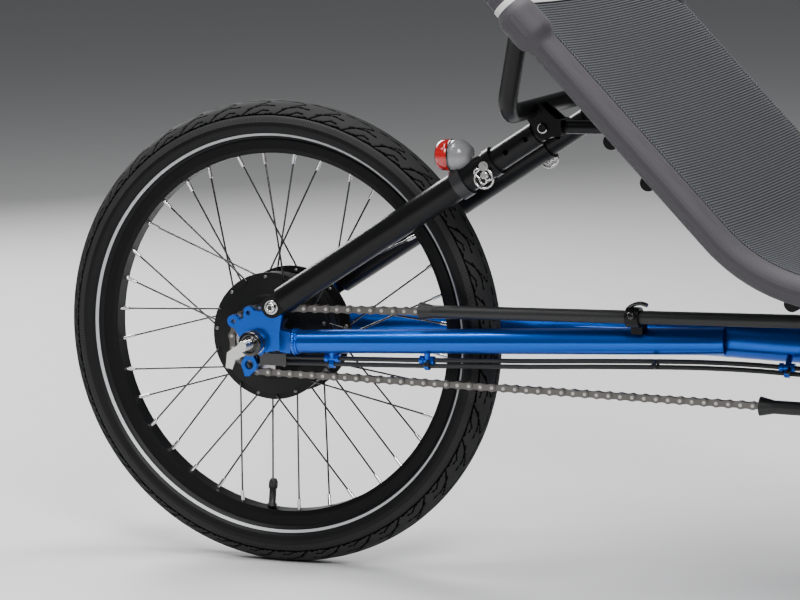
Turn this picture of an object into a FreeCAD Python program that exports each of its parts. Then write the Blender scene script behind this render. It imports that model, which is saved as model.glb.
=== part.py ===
import FreeCAD, Part
import math
import os

# Adult recumbent tricycle: two steered wheels in front, one driven wheel behind.
# Lengths are in millimetres. The model is drawn about the rear axle's centre (+X forward,
# +Y to the rider's left, +Z up) and save() moves it to the row frame: origin on the ground,
# under the middle of the tricycle's length and width.

V = FreeCAD.Vector
ORIGIN = V(0, 0, 0)
AXIS_X = V(1, 0, 0)
AXIS_Y = V(0, 1, 0)
RUN_GAP = 0.05           # radial clearance of every running fit

# Wheels: 47-406 tyres on 20 inch rims
WHEEL_R = 250.0
TYRE_HALF = 23.5
BEAD_R = 203.0
RIM_FLANGE_R = 209.0
RIM_INNER_R = 194.2
RIM_HALF = 12.0

# Layout
WHEELBASE = 1040.0
HALF_TRACK = 370.0
DROPOUT_IN = 66.0        # inner face of a rear dropout, from the centre plane
DROPOUT_T = 6.0
AXLE_R = 5.3
STAY_Y = 77.0            # centre plane of each seat stay

# Main tube, falling slightly towards the front
MAIN_R = 19.0
MAIN_WALL = 2.0
MAIN_BACK = V(462, 0, 19.2)
MAIN_FRONT = V(1024, 0, 4.6)
BOOM_ANGLE = 14.0
SLEEVE_R = 21.5
SLEEVE_L = 140.0
BOOM_R = 19.0

# Chain and sprockets
PITCH = 12.7
CHAIN_Y = -52.0
ROLLER_R = 3.87
PLATE_R = 4.2
REAR_TEETH = 17
RING_TEETH = 38
IDLER_TEETH = 15
IDLER_X = 905.0
IDLER_Z = 86.0
LOW_BEND_R = 600.0
LOW_BEND_X = 960.0
LOW_BEND_Z = -43.0
CHAIN_TUBE_R = 6.9
CHAIN_TUBE_BORE = 5.8

# Seat: side rails bent from 25.4 mm tube
RAIL_Y = 207.0
RAIL_R = 12.7
RAIL_WALL = 1.8
SLEEVE_GAP = 0.2
SLEEVE_OUT = 14.7
BACK_ANGLE = 46.3        # slope of the backrest above the horizontal
BASE_ANGLE = 6.0         # rise of the seat base towards the front
SEAT_BEND_R = 165.0
SEAT_BEND = V(668.8, 0, 264.0)
SEAT_TOP_Z = 566.0
SEAT_FRONT_X = 850.0
CORNER_R = 60.0
CROSS_R = 8.0
CROSS_BACK = 14.0        # cross tubes sit this far behind the rails' plane
SEAT_CROSS_X = (212.0, 455.0, 492.0, 628.0)
PIVOT_R = 9.5
PIVOT_X = 800.0
PIVOT_BACK = 16.0
CLAMP_X = 359.0          # where the brace's clamps hold the rails
BRACE_LEG = V(344, 190, 335)

# Telescopic seat stays
STAY_FOOT = V(25, 0, 40)
STAY_HEAD = V(333, 0, 238)
STAY_LOWER_L = 300.0
STAY_LOWER_R = 14.3
STAY_UPPER_R = 12.65
HOLE_PITCH = 25.4
LOCK_S = 292.0           # the lock pin's place along the stay
HEAD_SLOP = 2.6          # the upper pivot is left open by this much

# Steering: kingpins lean inwards and backwards
KPI = math.tan(math.radians(15.0))
CASTOR = math.tan(math.radians(12.0))
KINGPIN_Y = HALF_TRACK - WHEEL_R * KPI
STEERER_R = 12.65
HEAD_TUBE_R = 17.0
HEAD_LOW = 22.0
HEAD_HIGH = 78.0
ARM_L = 75.6
TIE_Z = -64.0
STUD_R = 4.0
ROTOR_R = 80.0
ROTOR_Y = HALF_TRACK - 37.0
CALIPER_ANGLE = 140.0    # of the caliper round the wheel, from straight ahead
CALIPER_R = 72.0
BAR_R = 11.1
BAR_POINTS = (V(1004, 277.5, 97), V(868, 296, 142), V(850, 304, 318))
CLAMP_H = 97.0
CABLE_R = 2.5
CABLE_DROPS = (0.0, 6.0)  # the second shift cable runs this far under the first

# Crank
CRANK_L = 165.0
RING_Y = CHAIN_Y
BB_HALF = 34.0
BOLT_CIRCLE_R = 55.0


def unit(a):
    """Return a copy of a with length 1."""
    b = V(a)
    b.normalize()
    return b


def rod(a, b, r):
    """Solid round bar from a to b."""
    d = b - a
    return Part.makeCylinder(r, d.Length, a, d)


def tube(a, b, r, bore):
    """Round tube from a to b, open at both ends."""
    e = unit(b - a)
    return rod(a, b, r).cut(rod(a - e, b + e, bore))


def taper(a, b, r1, r2):
    """Cone from radius r1 at a to radius r2 at b."""
    d = b - a
    return Part.makeCone(r1, r2, d.Length, a, d)


def ring(centre, axis, r, bore, width):
    """Ring of the given width, centred on centre."""
    e = unit(axis)
    a = centre - e * (width / 2)
    return tube(a, a + e * width, r, bore)


def block(low, high):
    """Box between two corners."""
    return Part.makeBox(high[0] - low[0], high[1] - low[1], high[2] - low[2], V(*low))


def fuse(solids):
    """One solid from several that touch or overlap."""
    return solids[0].multiFuse(solids[1:]).removeSplitter()


def largest(shape):
    """The largest solid of a cut shape, without its offcuts."""
    return max(shape.Solids, key=lambda solid: solid.Volume)


def turned(profile):
    """Solid of revolution about Y from (radius, y) corners."""
    wire = Part.makePolygon([V(r, y, 0) for r, y in profile + profile[:1]])
    return Part.Face(wire).revolve(ORIGIN, AXIS_Y, 360)


def plate(outline, y0, y1):
    """Flat plate in the XZ plane from (x, z) corners, between y0 and y1."""
    wire = Part.makePolygon([V(x, y0, z) for x, z in outline + outline[:1]])
    return Part.Face(wire).extrude(V(0, y1 - y0, 0))


def mirrored(shape):
    """The same piece on the other side of the centre plane."""
    return shape.mirror(ORIGIN, AXIS_Y)


def spin(shape, degrees, centre=ORIGIN, axis=AXIS_Y):
    """A copy turned about an axis through centre."""
    copy = shape.copy()
    copy.rotate(centre, axis, degrees)
    return copy


def moved(shape, x, y, z):
    """A copy shifted by (x, y, z)."""
    copy = shape.copy()
    copy.translate(V(x, y, z))
    return copy


def centre_line(points, radii):
    """Straight runs through points, joined by tangent arcs of the given radii."""
    edges = []
    start = points[0]
    for before, corner, after, r in zip(points, points[1:], points[2:], radii):
        a = unit(before - corner)
        b = unit(after - corner)
        half = a.getAngle(b) / 2
        reach = r / math.tan(half)
        inner = corner + unit(a + b) * (r / math.sin(half))
        p = corner + a * reach
        q = corner + b * reach
        middle = inner + unit(corner - inner) * r
        if (p - start).Length > 1e-6:
            edges.append(Part.LineSegment(start, p).toShape())
        edges.append(Part.Arc(p, middle, q).toShape())
        start = q
    edges.append(Part.LineSegment(start, points[-1]).toShape())
    return Part.Wire(edges)


def swept(path, r):
    """Round bar of radius r along a path."""
    edge = path.OrderedEdges[0]
    start = edge.valueAt(edge.FirstParameter)
    along = edge.tangentAt(edge.FirstParameter)
    profile = Part.Wire(Part.Circle(start, along, r).toShape())
    return path.makePipeShell([profile], True, False)


def even_radii(points):
    """Largest bend radii that a cable's route leaves room for."""
    radii = []
    for before, corner, after in zip(points, points[1:], points[2:]):
        run = min((corner - before).Length, (after - corner).Length)
        turn = math.pi - (before - corner).getAngle(after - corner)
        radii.append(0.45 * run / math.tan(turn / 2))
    return radii


def cable(points, r):
    """Cable of radius r laid along points."""
    radii = even_radii(points)
    print("cable bends, mm:", [round(x) for x in radii])
    return swept(centre_line(points, radii), r)


# --- chain path -----------------------------------------------------------------------------

def pitch_radius(teeth):
    return PITCH / (2 * math.sin(math.pi / teeth))


def boom_point(s):
    """Point on the boom's centre line, s from the main tube's front end."""
    a = math.radians(BOOM_ANGLE)
    return MAIN_FRONT + V(math.cos(a), 0, math.sin(a)) * s


def chain_wheels(crank):
    """Centre, signed pitch radius and pitches per turn of all that the chain bends round.

    The sign is positive where the chain runs round the wheel anticlockwise, seen from the
    tricycle's right side. The last entry is the lower chain tube's bend.
    """
    return [
        ((0.0, 0.0), -pitch_radius(REAR_TEETH), REAR_TEETH),
        ((IDLER_X, IDLER_Z), pitch_radius(IDLER_TEETH), IDLER_TEETH),
        ((crank.x, crank.z), -pitch_radius(RING_TEETH), RING_TEETH),
        ((LOW_BEND_X, LOW_BEND_Z + LOW_BEND_R), -LOW_BEND_R, 2 * math.pi * LOW_BEND_R / PITCH),
    ]


def straight_run(first, second):
    """Both ends and the heading of the run between two chain wheels."""
    (c1, r1, _), (c2, r2, _) = first, second
    dx, dz = c2[0] - c1[0], c2[1] - c1[1]
    step = r2 - r1
    length = math.sqrt(dx * dx + dz * dz - step * step)
    heading = math.atan2(dz, dx) - math.atan2(step, length)
    nx, nz = -math.sin(heading), math.cos(heading)
    start = (c1[0] - r1 * nx, c1[1] - r1 * nz)
    end = (c2[0] - r2 * nx, c2[1] - r2 * nz)
    return start, end, heading, length


def chain_stretches(crank):
    """The chain's loop as alternate straight runs and wraps, measured in pitches."""
    wheels = chain_wheels(crank)
    runs = [straight_run(w, wheels[(i + 1) % 4]) for i, w in enumerate(wheels)]
    stretches = []
    for i, run in enumerate(runs):
        stretches.append(("run", run, run[3] / PITCH))
        centre, r, per_turn = wheels[(i + 1) % 4]
        turn = (runs[(i + 1) % 4][2] - run[2]) * (1 if r > 0 else -1)
        turn %= 2 * math.pi
        first = math.atan2(run[1][1] - centre[1], run[1][0] - centre[0])
        stretches.append(("wrap", (centre, r, first), turn / (2 * math.pi) * per_turn))
    return stretches


def tension_boom():
    """Slide the boom until the chain is a whole, even number of pitches."""
    def loop(s):
        return sum(part[2] for part in chain_stretches(boom_point(s)))

    low, high = 405.0, 440.0
    wanted = 2 * math.floor(loop(high) / 2)
    while high - low > 1e-7:
        middle = (low + high) / 2
        if loop(middle) < wanted:
            low = middle
        else:
            high = middle
    return boom_point(low), int(wanted)


CRANK, CHAIN_LINKS = tension_boom()
STRETCHES = chain_stretches(CRANK)


def chain_point(s):
    """Point of the chain's centre line, s pitches from the rear sprocket's top."""
    for kind, shape, pitches in STRETCHES:
        if s <= pitches:
            break
        s -= pitches
    if kind == "run":
        start, _, heading, _ = shape
        return (start[0] + s * PITCH * math.cos(heading),
                start[1] + s * PITCH * math.sin(heading))
    centre, r, first = shape
    per_turn = next(w[2] for w in chain_wheels(CRANK) if w[0] == centre)
    angle = first + math.copysign(2 * math.pi * s / per_turn, r)
    return (centre[0] + abs(r) * math.cos(angle), centre[1] + abs(r) * math.sin(angle))


def pin_points():
    """Centre of every chain pin, in order round the loop."""
    return [chain_point(k) for k in range(CHAIN_LINKS)]


def upper_run_z(x):
    """Height of the upper chain run between the rear sprocket and the idler."""
    start, end, _, _ = STRETCHES[0][1]
    return start[1] + (end[1] - start[1]) * (x - start[0]) / (end[0] - start[0])


# --- wheels ---------------------------------------------------------------------------------

def tyre():
    """Hollow tyre with bead feet that sit inside the rim's flanges."""
    crown = WHEEL_R - TYRE_HALF
    foot, wall, lip = 10.2, 3.0, RIM_FLANGE_R + 0.4
    side_r, inner = 213.0, TYRE_HALF - wall
    side_y = math.sqrt(TYRE_HALF ** 2 - (crown - side_r) ** 2)
    in_y = math.sqrt(inner ** 2 - (crown - side_r) ** 2)

    def edge(*points):
        return Part.makePolygon([V(r, y, 0) for r, y in points]).Edges

    outer = Part.Arc(V(side_r, side_y, 0), V(WHEEL_R, 0, 0), V(side_r, -side_y, 0)).toShape()
    hollow = Part.Arc(V(side_r, in_y, 0), V(WHEEL_R - wall, 0, 0), V(side_r, -in_y, 0)).toShape()
    low = BEAD_R + 0.5
    right = edge((side_r, -side_y), (lip, -foot), (low, -foot), (low, wall - foot),
                 (lip, wall - foot), (side_r, -in_y))
    left = edge((side_r, in_y), (lip, foot - wall), (low, foot - wall), (low, foot),
                (lip, foot), (side_r, side_y))
    wire = Part.Wire(Part.__sortEdges__([outer, hollow] + right + left))
    return Part.Face(wire).revolve(ORIGIN, AXIS_Y, 360)


def rim():
    """Double-walled rim: a closed box under the bead seats, and two flanges."""
    low = RIM_INNER_R
    shell = turned([(low, -9), (low, 9), (low + 5, 11.2), (RIM_FLANGE_R, RIM_HALF),
                    (RIM_FLANGE_R, RIM_HALF - 1.5), (BEAD_R, RIM_HALF - 1.7), (BEAD_R - 1, 6),
                    (BEAD_R - 2.5, 0), (BEAD_R - 1, -6), (BEAD_R, 1.7 - RIM_HALF),
                    (RIM_FLANGE_R, 1.5 - RIM_HALF), (RIM_FLANGE_R, -RIM_HALF),
                    (low + 5, -11.2)])
    box = turned([(low + 1.5, -7.5), (low + 1.5, 7.5), (low + 4.5, 8.5), (low + 4.5, -8.5)])
    return shell.cut(box)


def spoke_ends(hub_r, flange_y, outside, inside, per_side, cross, rim_r):
    """Both ends of every spoke's axis. Each flange alternates outer and inner spokes."""
    ends = []
    step = 360.0 / per_side
    for side in (-1, 1):
        for k in range(per_side):
            out = k % 2 == 0
            y = side * (flange_y + outside if out else flange_y - inside)
            a = math.radians(step * (k + side * 0.25))
            b = a + math.radians(step * cross * (1 if out else -1))
            ends.append((V(hub_r * math.cos(a), y, hub_r * math.sin(a)),
                         V(rim_r * math.cos(b), side * 3.0, rim_r * math.sin(b))))
    return ends


def spokes(ends, r, nipple_l):
    """Round spokes that stop where their nipples begin."""
    return [rod(a, b - unit(b - a) * nipple_l, r) for a, b in ends]


def nipples(ends, r, nipple_l):
    """Spoke nipples, each reaching just into the rim."""
    return [rod(b - unit(b - a) * nipple_l, b, r) for a, b in ends]


def rear_hub():
    """Wide stepped drum of the hub gear with two spoke flanges, bored for the axle."""
    shell = turned([(AXLE_R + RUN_GAP, -48), (19, -48), (19, -42), (44, -38), (46, -34),
                    (62, -29.2), (68.4, -28.5), (68.4, -25.5), (59.5, -25.5), (59.5, -19.5),
                    (65.5, -18.5), (66.5, -17), (66.5, -4), (65.5, -2.5), (58, -1.5),
                    (57, 9), (61.5, 10), (62, 16), (59, 17), (59, 25.5), (68.4, 25.5),
                    (68.4, 28.5), (62, 29.2), (48, 36), (30, 44), (18, 50), (18, 58),
                    (AXLE_R + RUN_GAP, 58)])
    return shell.cut(turned([(AXLE_R + 12, -30), (48, -25), (48, 28), (AXLE_R + 12, 38)]))


def front_hub(sign):
    """Front hub shell with its brake rotor's seat on the inner side."""
    profile = [(7.55, -40), (20, -40), (20, -32), (21, -22.4), (29, -22.4), (29, -20.2),
               (18, -20.2), (16, -18), (15, 0), (16, 18), (18, 20.2), (29, 20.2), (29, 22.4),
               (18, 22.4), (17, 28), (7.55, 28)]
    return turned([(r, sign * y) for r, y in profile])


def brake_rotor(sign):
    """Ventilated disc, on the inner side of the hub."""
    y = sign * -37.0
    disc = ring(V(0, y, 0), AXIS_Y, ROTOR_R, 64, 2.0)
    carrier = ring(V(0, y, 0), AXIS_Y, 30, 20.05, 2.0)
    arms = [spin(block((28, y - 1, -5), (66, y + 1, 5)), 60 * k) for k in range(6)]
    disc = fuse([disc, carrier] + arms)
    holes = [rod(V(70 + 4 * (k % 2), y - 3, 0), V(70 + 4 * (k % 2), y + 3, 0), 2.2)
             for k in range(30)]
    return disc.cut(Part.makeCompound([spin(h, 12 * k) for k, h in enumerate(holes)]))


def toothed_wheel(teeth, thickness, phase):
    """Sprocket blank whose tooth gaps fit the chain's rollers; phase in radians."""
    rp = pitch_radius(teeth)
    seat = ROLLER_R + 0.1
    edges = []
    tip_r, tip_half = rp + 3.0, 0.9 / (rp + 3.0)

    def point(r, a):
        return V(r * math.cos(a), -thickness / 2, r * math.sin(a))

    def local(u, v, a):
        return V((rp + u) * math.cos(a) - v * math.sin(a), -thickness / 2,
                 (rp + u) * math.sin(a) + v * math.cos(a))

    step = 2 * math.pi / teeth
    side = seat * math.sin(math.radians(60))
    for k in range(teeth):
        a = phase + k * step
        first = local(-seat / 2, -side, a)
        last = local(-seat / 2, side, a)
        edges.append(Part.Arc(first, local(-seat, 0, a), last).toShape())
        tip_1 = point(tip_r, a + step / 2 - tip_half)
        tip_2 = point(tip_r, a + step / 2 + tip_half)
        edges.append(Part.LineSegment(last, tip_1).toShape())
        edges.append(Part.LineSegment(tip_1, tip_2).toShape())
        edges.append(Part.LineSegment(tip_2, local(-seat / 2, -side, a + step)).toShape())
    return Part.Face(Part.Wire(edges)).extrude(V(0, thickness, 0))


def wheel_phase(centre, pitches_before):
    """Angle of the first chain pin that lies on the wheel after pitches_before."""
    k = math.ceil(pitches_before)
    x, z = chain_point(k)
    return math.atan2(z - centre[1], x - centre[0])


def stretch_start(index):
    """Pitches from the loop's start to the stretch with this index."""
    return sum(part[2] for part in STRETCHES[:index])


def rear_wheel():
    ends = spoke_ends(64.0, 27.0, 3.6, 2.6, 18, 1, RIM_INNER_R + 0.6)
    hub = rear_hub()
    sprocket = toothed_wheel(REAR_TEETH, 2.1, wheel_phase((0, 0), stretch_start(7)))
    sprocket = sprocket.cut(rod(V(0, -9, 0), V(0, 9, 0), 21))
    carrier = ring(V(0, 0, 0), AXIS_Y, 21, 19.5, 2.1)
    driver = ring(V(0, CHAIN_Y, 0), AXIS_Y, 19.5, AXLE_R + RUN_GAP, 7.4)
    sprocket = moved(fuse([sprocket, carrier]), 0, CHAIN_Y, 0)
    return {
        "rear_tyre": [tyre()],
        "rear_rim": [rim()],
        "rear_spokes": spokes(ends, 1.0, 13.0),
        "rear_nipples": nipples(ends, 2.3, 13.0),
        "rear_hub": [hub],
        "rear_sprocket": [fuse([sprocket, driver])],
    }


def front_wheel(side, sign):
    """One front wheel about its own axle; sign is +1 on the left."""
    centre = (WHEELBASE, sign * HALF_TRACK, 0)
    ends = spoke_ends(25.5, 21.5, 2.9, 2.4, 14, 2, RIM_INNER_R + 0.6)
    parts = {
        "tyre_front_" + side: [tyre()],
        "rim_front_" + side: [rim()],
        "spokes_front_" + side: spokes(ends, 1.0, 13.0) + nipples(ends, 2.2, 13.0),
        "hub_front_" + side: [front_hub(sign), brake_rotor(sign)],
    }
    return {name: [moved(s, *centre) for s in solids] for name, solids in parts.items()}


# --- chain ----------------------------------------------------------------------------------

def figure_eight(y0, y1):
    """Side plate between two pins, one pitch apart, with a waist."""
    waist = 14.0
    half = PITCH / 2
    reach = PLATE_R + waist
    high = math.sqrt(reach ** 2 - half ** 2)
    tx = half - PLATE_R * half / reach
    tz = PLATE_R * high / reach
    top = Part.Arc(V(tx, y0, tz), V(0, y0, high - waist), V(-tx, y0, tz))
    back = Part.Arc(V(-tx, y0, tz), V(-half - PLATE_R, y0, 0), V(-tx, y0, -tz))
    low = Part.Arc(V(-tx, y0, -tz), V(0, y0, waist - high), V(tx, y0, -tz))
    front = Part.Arc(V(tx, y0, -tz), V(half + PLATE_R, y0, 0), V(tx, y0, tz))
    wire = Part.Wire([arc.toShape() for arc in (top, back, low, front)])
    return moved(Part.Face(wire).extrude(V(0, y1 - y0, 0)), half, 0, 0)


def chain_link(inner):
    """Inner link (plates and rollers) or outer link (plates and pins), first pin at 0."""
    ends = (V(0, 0, 0), V(PITCH, 0, 0))
    pin_r = 1.8
    if inner:
        solids = [figure_eight(-2.2, -1.25), figure_eight(1.25, 2.2)]
        solids += [ring(e, AXIS_Y, ROLLER_R, pin_r + RUN_GAP, 2.6) for e in ends]
        bores = [rod(e - AXIS_Y * 4, e + AXIS_Y * 4, pin_r + RUN_GAP) for e in ends]
        return fuse(solids).cut(Part.makeCompound(bores))
    solids = [figure_eight(-3.2, -2.25), figure_eight(2.25, 3.2)]
    solids += [rod(e - AXIS_Y * 3.5, e + AXIS_Y * 3.5, pin_r) for e in ends]
    return fuse(solids)


def chain():
    """Every link of the loop, set between its two pins."""
    links = (chain_link(True), chain_link(False))
    pins = pin_points()
    solids = []
    for k, (x, z) in enumerate(pins):
        nx, nz = pins[(k + 1) % len(pins)]
        angle = math.degrees(math.atan2(nz - z, nx - x))
        solids.append(moved(spin(links[k % 2], -angle), x, CHAIN_Y, z))
    return {"chain": solids}


def flared_tube(a, b, flare_a, flare_b):
    """Chain tube from a to b; each flare is the extra radius of that end's mouth."""
    e = unit(b - a)
    solids = [rod(a, b, CHAIN_TUBE_R)]
    if flare_a:
        solids.append(taper(a, a + e * 14, CHAIN_TUBE_R + flare_a, CHAIN_TUBE_R))
    if flare_b:
        solids.append(taper(b - e * 14, b, CHAIN_TUBE_R, CHAIN_TUBE_R + flare_b))
    return fuse(solids)


def chain_tubes():
    """Guide tubes round the upper and the lower chain run."""
    low_x, high_x = 182.0, 845.0
    a = V(low_x, CHAIN_Y, upper_run_z(low_x))
    b = V(high_x, CHAIN_Y, upper_run_z(high_x))
    e = unit(b - a)
    upper = flared_tube(a, b, 2.9, 2.9).cut(rod(a - e, b + e, CHAIN_TUBE_BORE))
    for mouth, way in ((a, e), (b, e * -1)):
        upper = upper.cut(taper(mouth - way, mouth + way * 9, CHAIN_TUBE_BORE + 2.5,
                                CHAIN_TUBE_BORE))
    start, _, heading, _ = STRETCHES[6][1]
    run = V(math.cos(heading), 0, math.sin(heading))
    back = V(start[0], CHAIN_Y, start[1])
    mouth = back + run * ((548.0 - back.x) / run.x)
    climb = STRETCHES[4][1]
    top_end = V(climb[1][0], CHAIN_Y, climb[1][1])
    way = V(-math.cos(climb[2]), 0, -math.sin(climb[2]))
    front = top_end + way * 60
    middle_pt = chain_point(stretch_start(5) + STRETCHES[5][2] / 2)
    arc = Part.Arc(top_end, V(middle_pt[0], CHAIN_Y, middle_pt[1]), back).toShape()
    path = Part.Wire([Part.LineSegment(front, top_end).toShape(), arc,
                      Part.LineSegment(back, mouth).toShape()])
    lower = swept(path, CHAIN_TUBE_R)
    flare = taper(mouth, mouth - run * 14, CHAIN_TUBE_R + 3, CHAIN_TUBE_R)
    lower = fuse([lower, flare]).cut(swept(path, CHAIN_TUBE_BORE))
    lower = lower.cut(taper(mouth + run, mouth - run * 9, CHAIN_TUBE_BORE + 2.6,
                            CHAIN_TUBE_BORE))
    return {"chain_tube_upper": [upper], "chain_tube_lower": [lower]}


def idler():
    """Grooved pulley that turns the upper run up towards the crank."""
    crown = pitch_radius(IDLER_TEETH) - ROLLER_R - 0.05
    wheel = turned([(4.05, -6), (33, -6), (34, -5), (34, -4.2), (25.4, -4.0), (25.4, -1.1),
                    (crown, -1.1), (crown, 1.1), (25.4, 1.1), (25.4, 4.0), (34, 4.2), (34, 5),
                    (33, 6), (4.05, 6)])
    return {"idler_wheel": [moved(wheel, IDLER_X, CHAIN_Y, IDLER_Z)]}


# --- frame ----------------------------------------------------------------------------------

def main_solid():
    """Outside of the main tube and its boom sleeve, with no bore."""
    return fuse([rod(MAIN_BACK, MAIN_FRONT, MAIN_R), Part.makeSphere(SLEEVE_R, MAIN_FRONT),
                 rod(MAIN_FRONT, boom_point(SLEEVE_L), SLEEVE_R)])


def main_tube():
    cap = unit(MAIN_FRONT - MAIN_BACK) * 3
    bore = rod(MAIN_BACK + cap, MAIN_FRONT, MAIN_R - MAIN_WALL)
    sleeve_bore = rod(boom_point(8), boom_point(SLEEVE_L + 1), BOOM_R + RUN_GAP)
    return main_solid().cut(bore).cut(sleeve_bore)


def chainstay():
    """Left chainstay: tapered tube with a weld bead at the dropout, mitred to the main tube."""
    back = V(44.5, 69, 2.9)
    front = V(500, 16, 18.1)
    e = unit(front - back)
    outer = taper(back, front, 12.25, 14.3)
    bead = ring(back + e * 2, e, 13.3, 11, 4)
    inner = taper(back - e, front + e, 10.75, 12.8)
    return fuse([outer, bead]).cut(inner).cut(main_solid()).cut(dropout_boss())


def dropout_boss():
    """Block that widens from the dropout plate to the chainstay's end."""
    near = [V(29, y, z) for y, z in ((63, -8.6), (63, 14.3), (DROPOUT_IN + DROPOUT_T, 14.3),
                                     (DROPOUT_IN + DROPOUT_T, -8.6))]
    far = [V(44.5, y, z) for y, z in ((59.5, -8.4), (59.5, 14.2), (78.8, 14.2), (78.8, -8.4))]
    wires = [Part.makePolygon(corners + corners[:1]) for corners in (near, far)]
    return Part.makeLoft(wires, True, True)


def dropout():
    """Left dropout plate with two eyelets, the seat stay's lobe and the chainstay's boss."""
    y0, y1 = DROPOUT_IN, DROPOUT_IN + DROPOUT_T
    outline = [(30, -6.3), (30, 18), (34, 37), (18, 43), (8, 33), (-4, 34), (-14, 24),
               (-28, 22), (-16, 2), (-14, -10), (14, -10)]
    lobes = [(-24.3, 21.2, 6.8), (-6.5, 31.0, 6.8), (STAY_FOOT.x, STAY_FOOT.z, 9.5),
             (0, 0, 15)]
    solids = [plate(outline, y0, y1)]
    solids += [rod(V(x, y0, z), V(x, y1, z), r) for x, z, r in lobes]
    solids.append(dropout_boss())
    holes = [(-24.3, 21.2, 2.6), (-6.5, 31.0, 2.6), (STAY_FOOT.x, STAY_FOOT.z, 4.0),
             (0, 0, AXLE_R)]
    scallops = [(-17.5, 32.5, 6.0), (6.0, 45.0, 9.0)]
    cuts = [rod(V(x, y0 - 1, z), V(x, y1 + 1, z), r) for x, z, r in holes + scallops]
    cuts.append(block((-AXLE_R, y0 - 1, -20), (AXLE_R, y1 + 1, 0)))
    return fuse(solids).cut(Part.makeCompound(cuts))


def derailleur_hanger():
    """Bolted-on tab under the right dropout: a neck, an eye with an M10 hole and a tip."""
    y0, y1 = -DROPOUT_IN, 5.5 - DROPOUT_IN
    eye = V(-9.5, 0, -25.6)
    root = plate([(-22, -1), (-14, -1), (-7.5, -9), (-7, -14), (-13.5, -14), (-18, -9)], y0, y1)
    neck = plate([(-13.5, -13), (-7, -13), (-2, -20), (-2, -30), (-10, -38), (-15, -38),
                  (-17.5, -28), (-15, -20)], y0, y1)
    disc = rod(at_y(eye, y0), at_y(eye, y1), 9.0)
    hole = rod(at_y(eye, y0 - 1), at_y(eye, y1 + 1), 4.9)
    return fuse([root, neck, disc]).cut(hole)


def kingpin_point(h):
    """Point of the left kingpin's axis at height h above the front axles."""
    return V(WHEELBASE - CASTOR * h, KINGPIN_Y - KPI * h, h)


def head_axis():
    return unit(kingpin_point(1) - kingpin_point(0))


def cross_arm():
    """Left cross arm with its head tube."""
    low, high = kingpin_point(HEAD_LOW), kingpin_point(HEAD_HIGH)
    head = rod(low, high, HEAD_TUBE_R)
    start = V(1008, 0, 8)
    middle = kingpin_point(50)
    e = unit(middle - start)
    arm = rod(start, middle, 17)
    arm = fuse([arm, head]).cut(rod(start, middle - e * 10, 15))
    arm = arm.cut(block((900, -60, -60), (1100, 0, 60)))
    return arm.cut(main_solid()).cut(rod(low - head_axis(), high + head_axis(),
                                         STEERER_R + RUN_GAP))


def boom():
    """Sliding boom with the bottom bracket shell."""
    shell = rod(V(CRANK.x, -BB_HALF, CRANK.z), V(CRANK.x, BB_HALF, CRANK.z), 21)
    start = boom_point(40)
    bar = fuse([rod(start, CRANK, BOOM_R), shell])
    e = unit(CRANK - start)
    bar = bar.cut(rod(start - e, CRANK - e * 26, BOOM_R - 2))
    return bar.cut(rod(V(CRANK.x, -40, CRANK.z), V(CRANK.x, 40, CRANK.z), 17))


def bottom_bracket():
    """Two threaded cups with the spindle's bearing bore."""
    right = turned([(8.55, -37), (20, -37), (20, -BB_HALF), (17, -BB_HALF), (17, -12),
                    (8.55, -12)])
    return [moved(s, CRANK.x, 0, CRANK.z) for s in (right, mirrored(right))]


def rear_axle():
    """Axle across both dropouts; its right end runs on past the nut."""
    return rod(V(0, -103, 0), V(0, 84, 0), AXLE_R)


def rear_fasteners():
    """Axle nuts, hooked torque arm, cable box of the hub gear and both stay bolts."""
    out = DROPOUT_IN + DROPOUT_T
    arm_t = 2.5
    nuts = [ring(V(0, sign * (out + arm_t + 5), 0), AXIS_Y, 12.5, AXLE_R, 10)
            for sign in (-1, 1)]
    arms = []
    for sign in (-1, 1):
        y0 = min(sign * out, sign * (out + arm_t))
        eye = rod(V(0, y0, 0), V(0, y0 + arm_t, 0), 13)
        hook = plate([(-8, 8), (-16, -2), (-31, -12), (-33, -28), (-25, -30), (-22, -20),
                      (-14, -16), (-4, -11)], y0, y0 + arm_t)
        arms.append(fuse([eye, hook]).cut(rod(V(0, y0 - 1, 0), V(0, y0 + 4, 0), AXLE_R)))
    box = block((-3, -64.5, -25), (33, -57.5, -12.5)).cut(
        block((-24, -70, -40), (2.5, -60, 0)))
    bolts = []
    for sign in (-1, 1):
        shank = rod(V(25, sign * (DROPOUT_IN - 3), 40), V(25, sign * 82, 40), 4.0)
        head = rod(V(25, sign * 82, 40), V(25, sign * 85.5, 40), 5.5)
        bolts.append(fuse([shank, head]))
    locknuts = [ring(V(0, sign * 62.4, 0), AXIS_Y, 10, AXLE_R, 7.2) for sign in (-1, 1)]
    return nuts + arms + [box] + bolts + locknuts


def shift_route(drop):
    """Points of one shift cable, from the hub to its stop on the right cross arm."""
    return [V(33.2, -61, -15.8 - drop), V(66, -61.5, -14.5 - drop),
            V(100, -60, -14.0 - drop), V(142, -56, -13.2 - drop),
            V(188, -50, -12.6 - drop), V(243, -44, -11.0 - drop),
            V(300, -38, -9.6 - drop), V(357, -32, -7.2 - drop),
            V(412, -27, -5.4 - drop), V(470, -25.5, -3.0 - drop),
            V(530, -25.8, -2.4 - drop), V(588, -25.2, -4.4 - drop),
            V(645, -25.6, -5.2 - drop), V(704, -25.0, -7.4 - drop),
            V(762, -25.5, -8.2 - drop), V(816, -27.5, -10.4 - drop),
            V(868, -33, -11.0 - drop), V(914, -46, -8.0 - drop),
            V(950, -72, -1 - drop), V(976, -107, 9 - drop), V(992, -147, 18 - drop),
            V(1000, -190, 26 - drop), V(1003.4, -232, 32.6 - drop)]


def shift_cables():
    """Two cable housings from the hub, under the right stay, to the right cross arm."""
    return [cable(shift_route(drop), CABLE_R) for drop in CABLE_DROPS]


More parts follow.
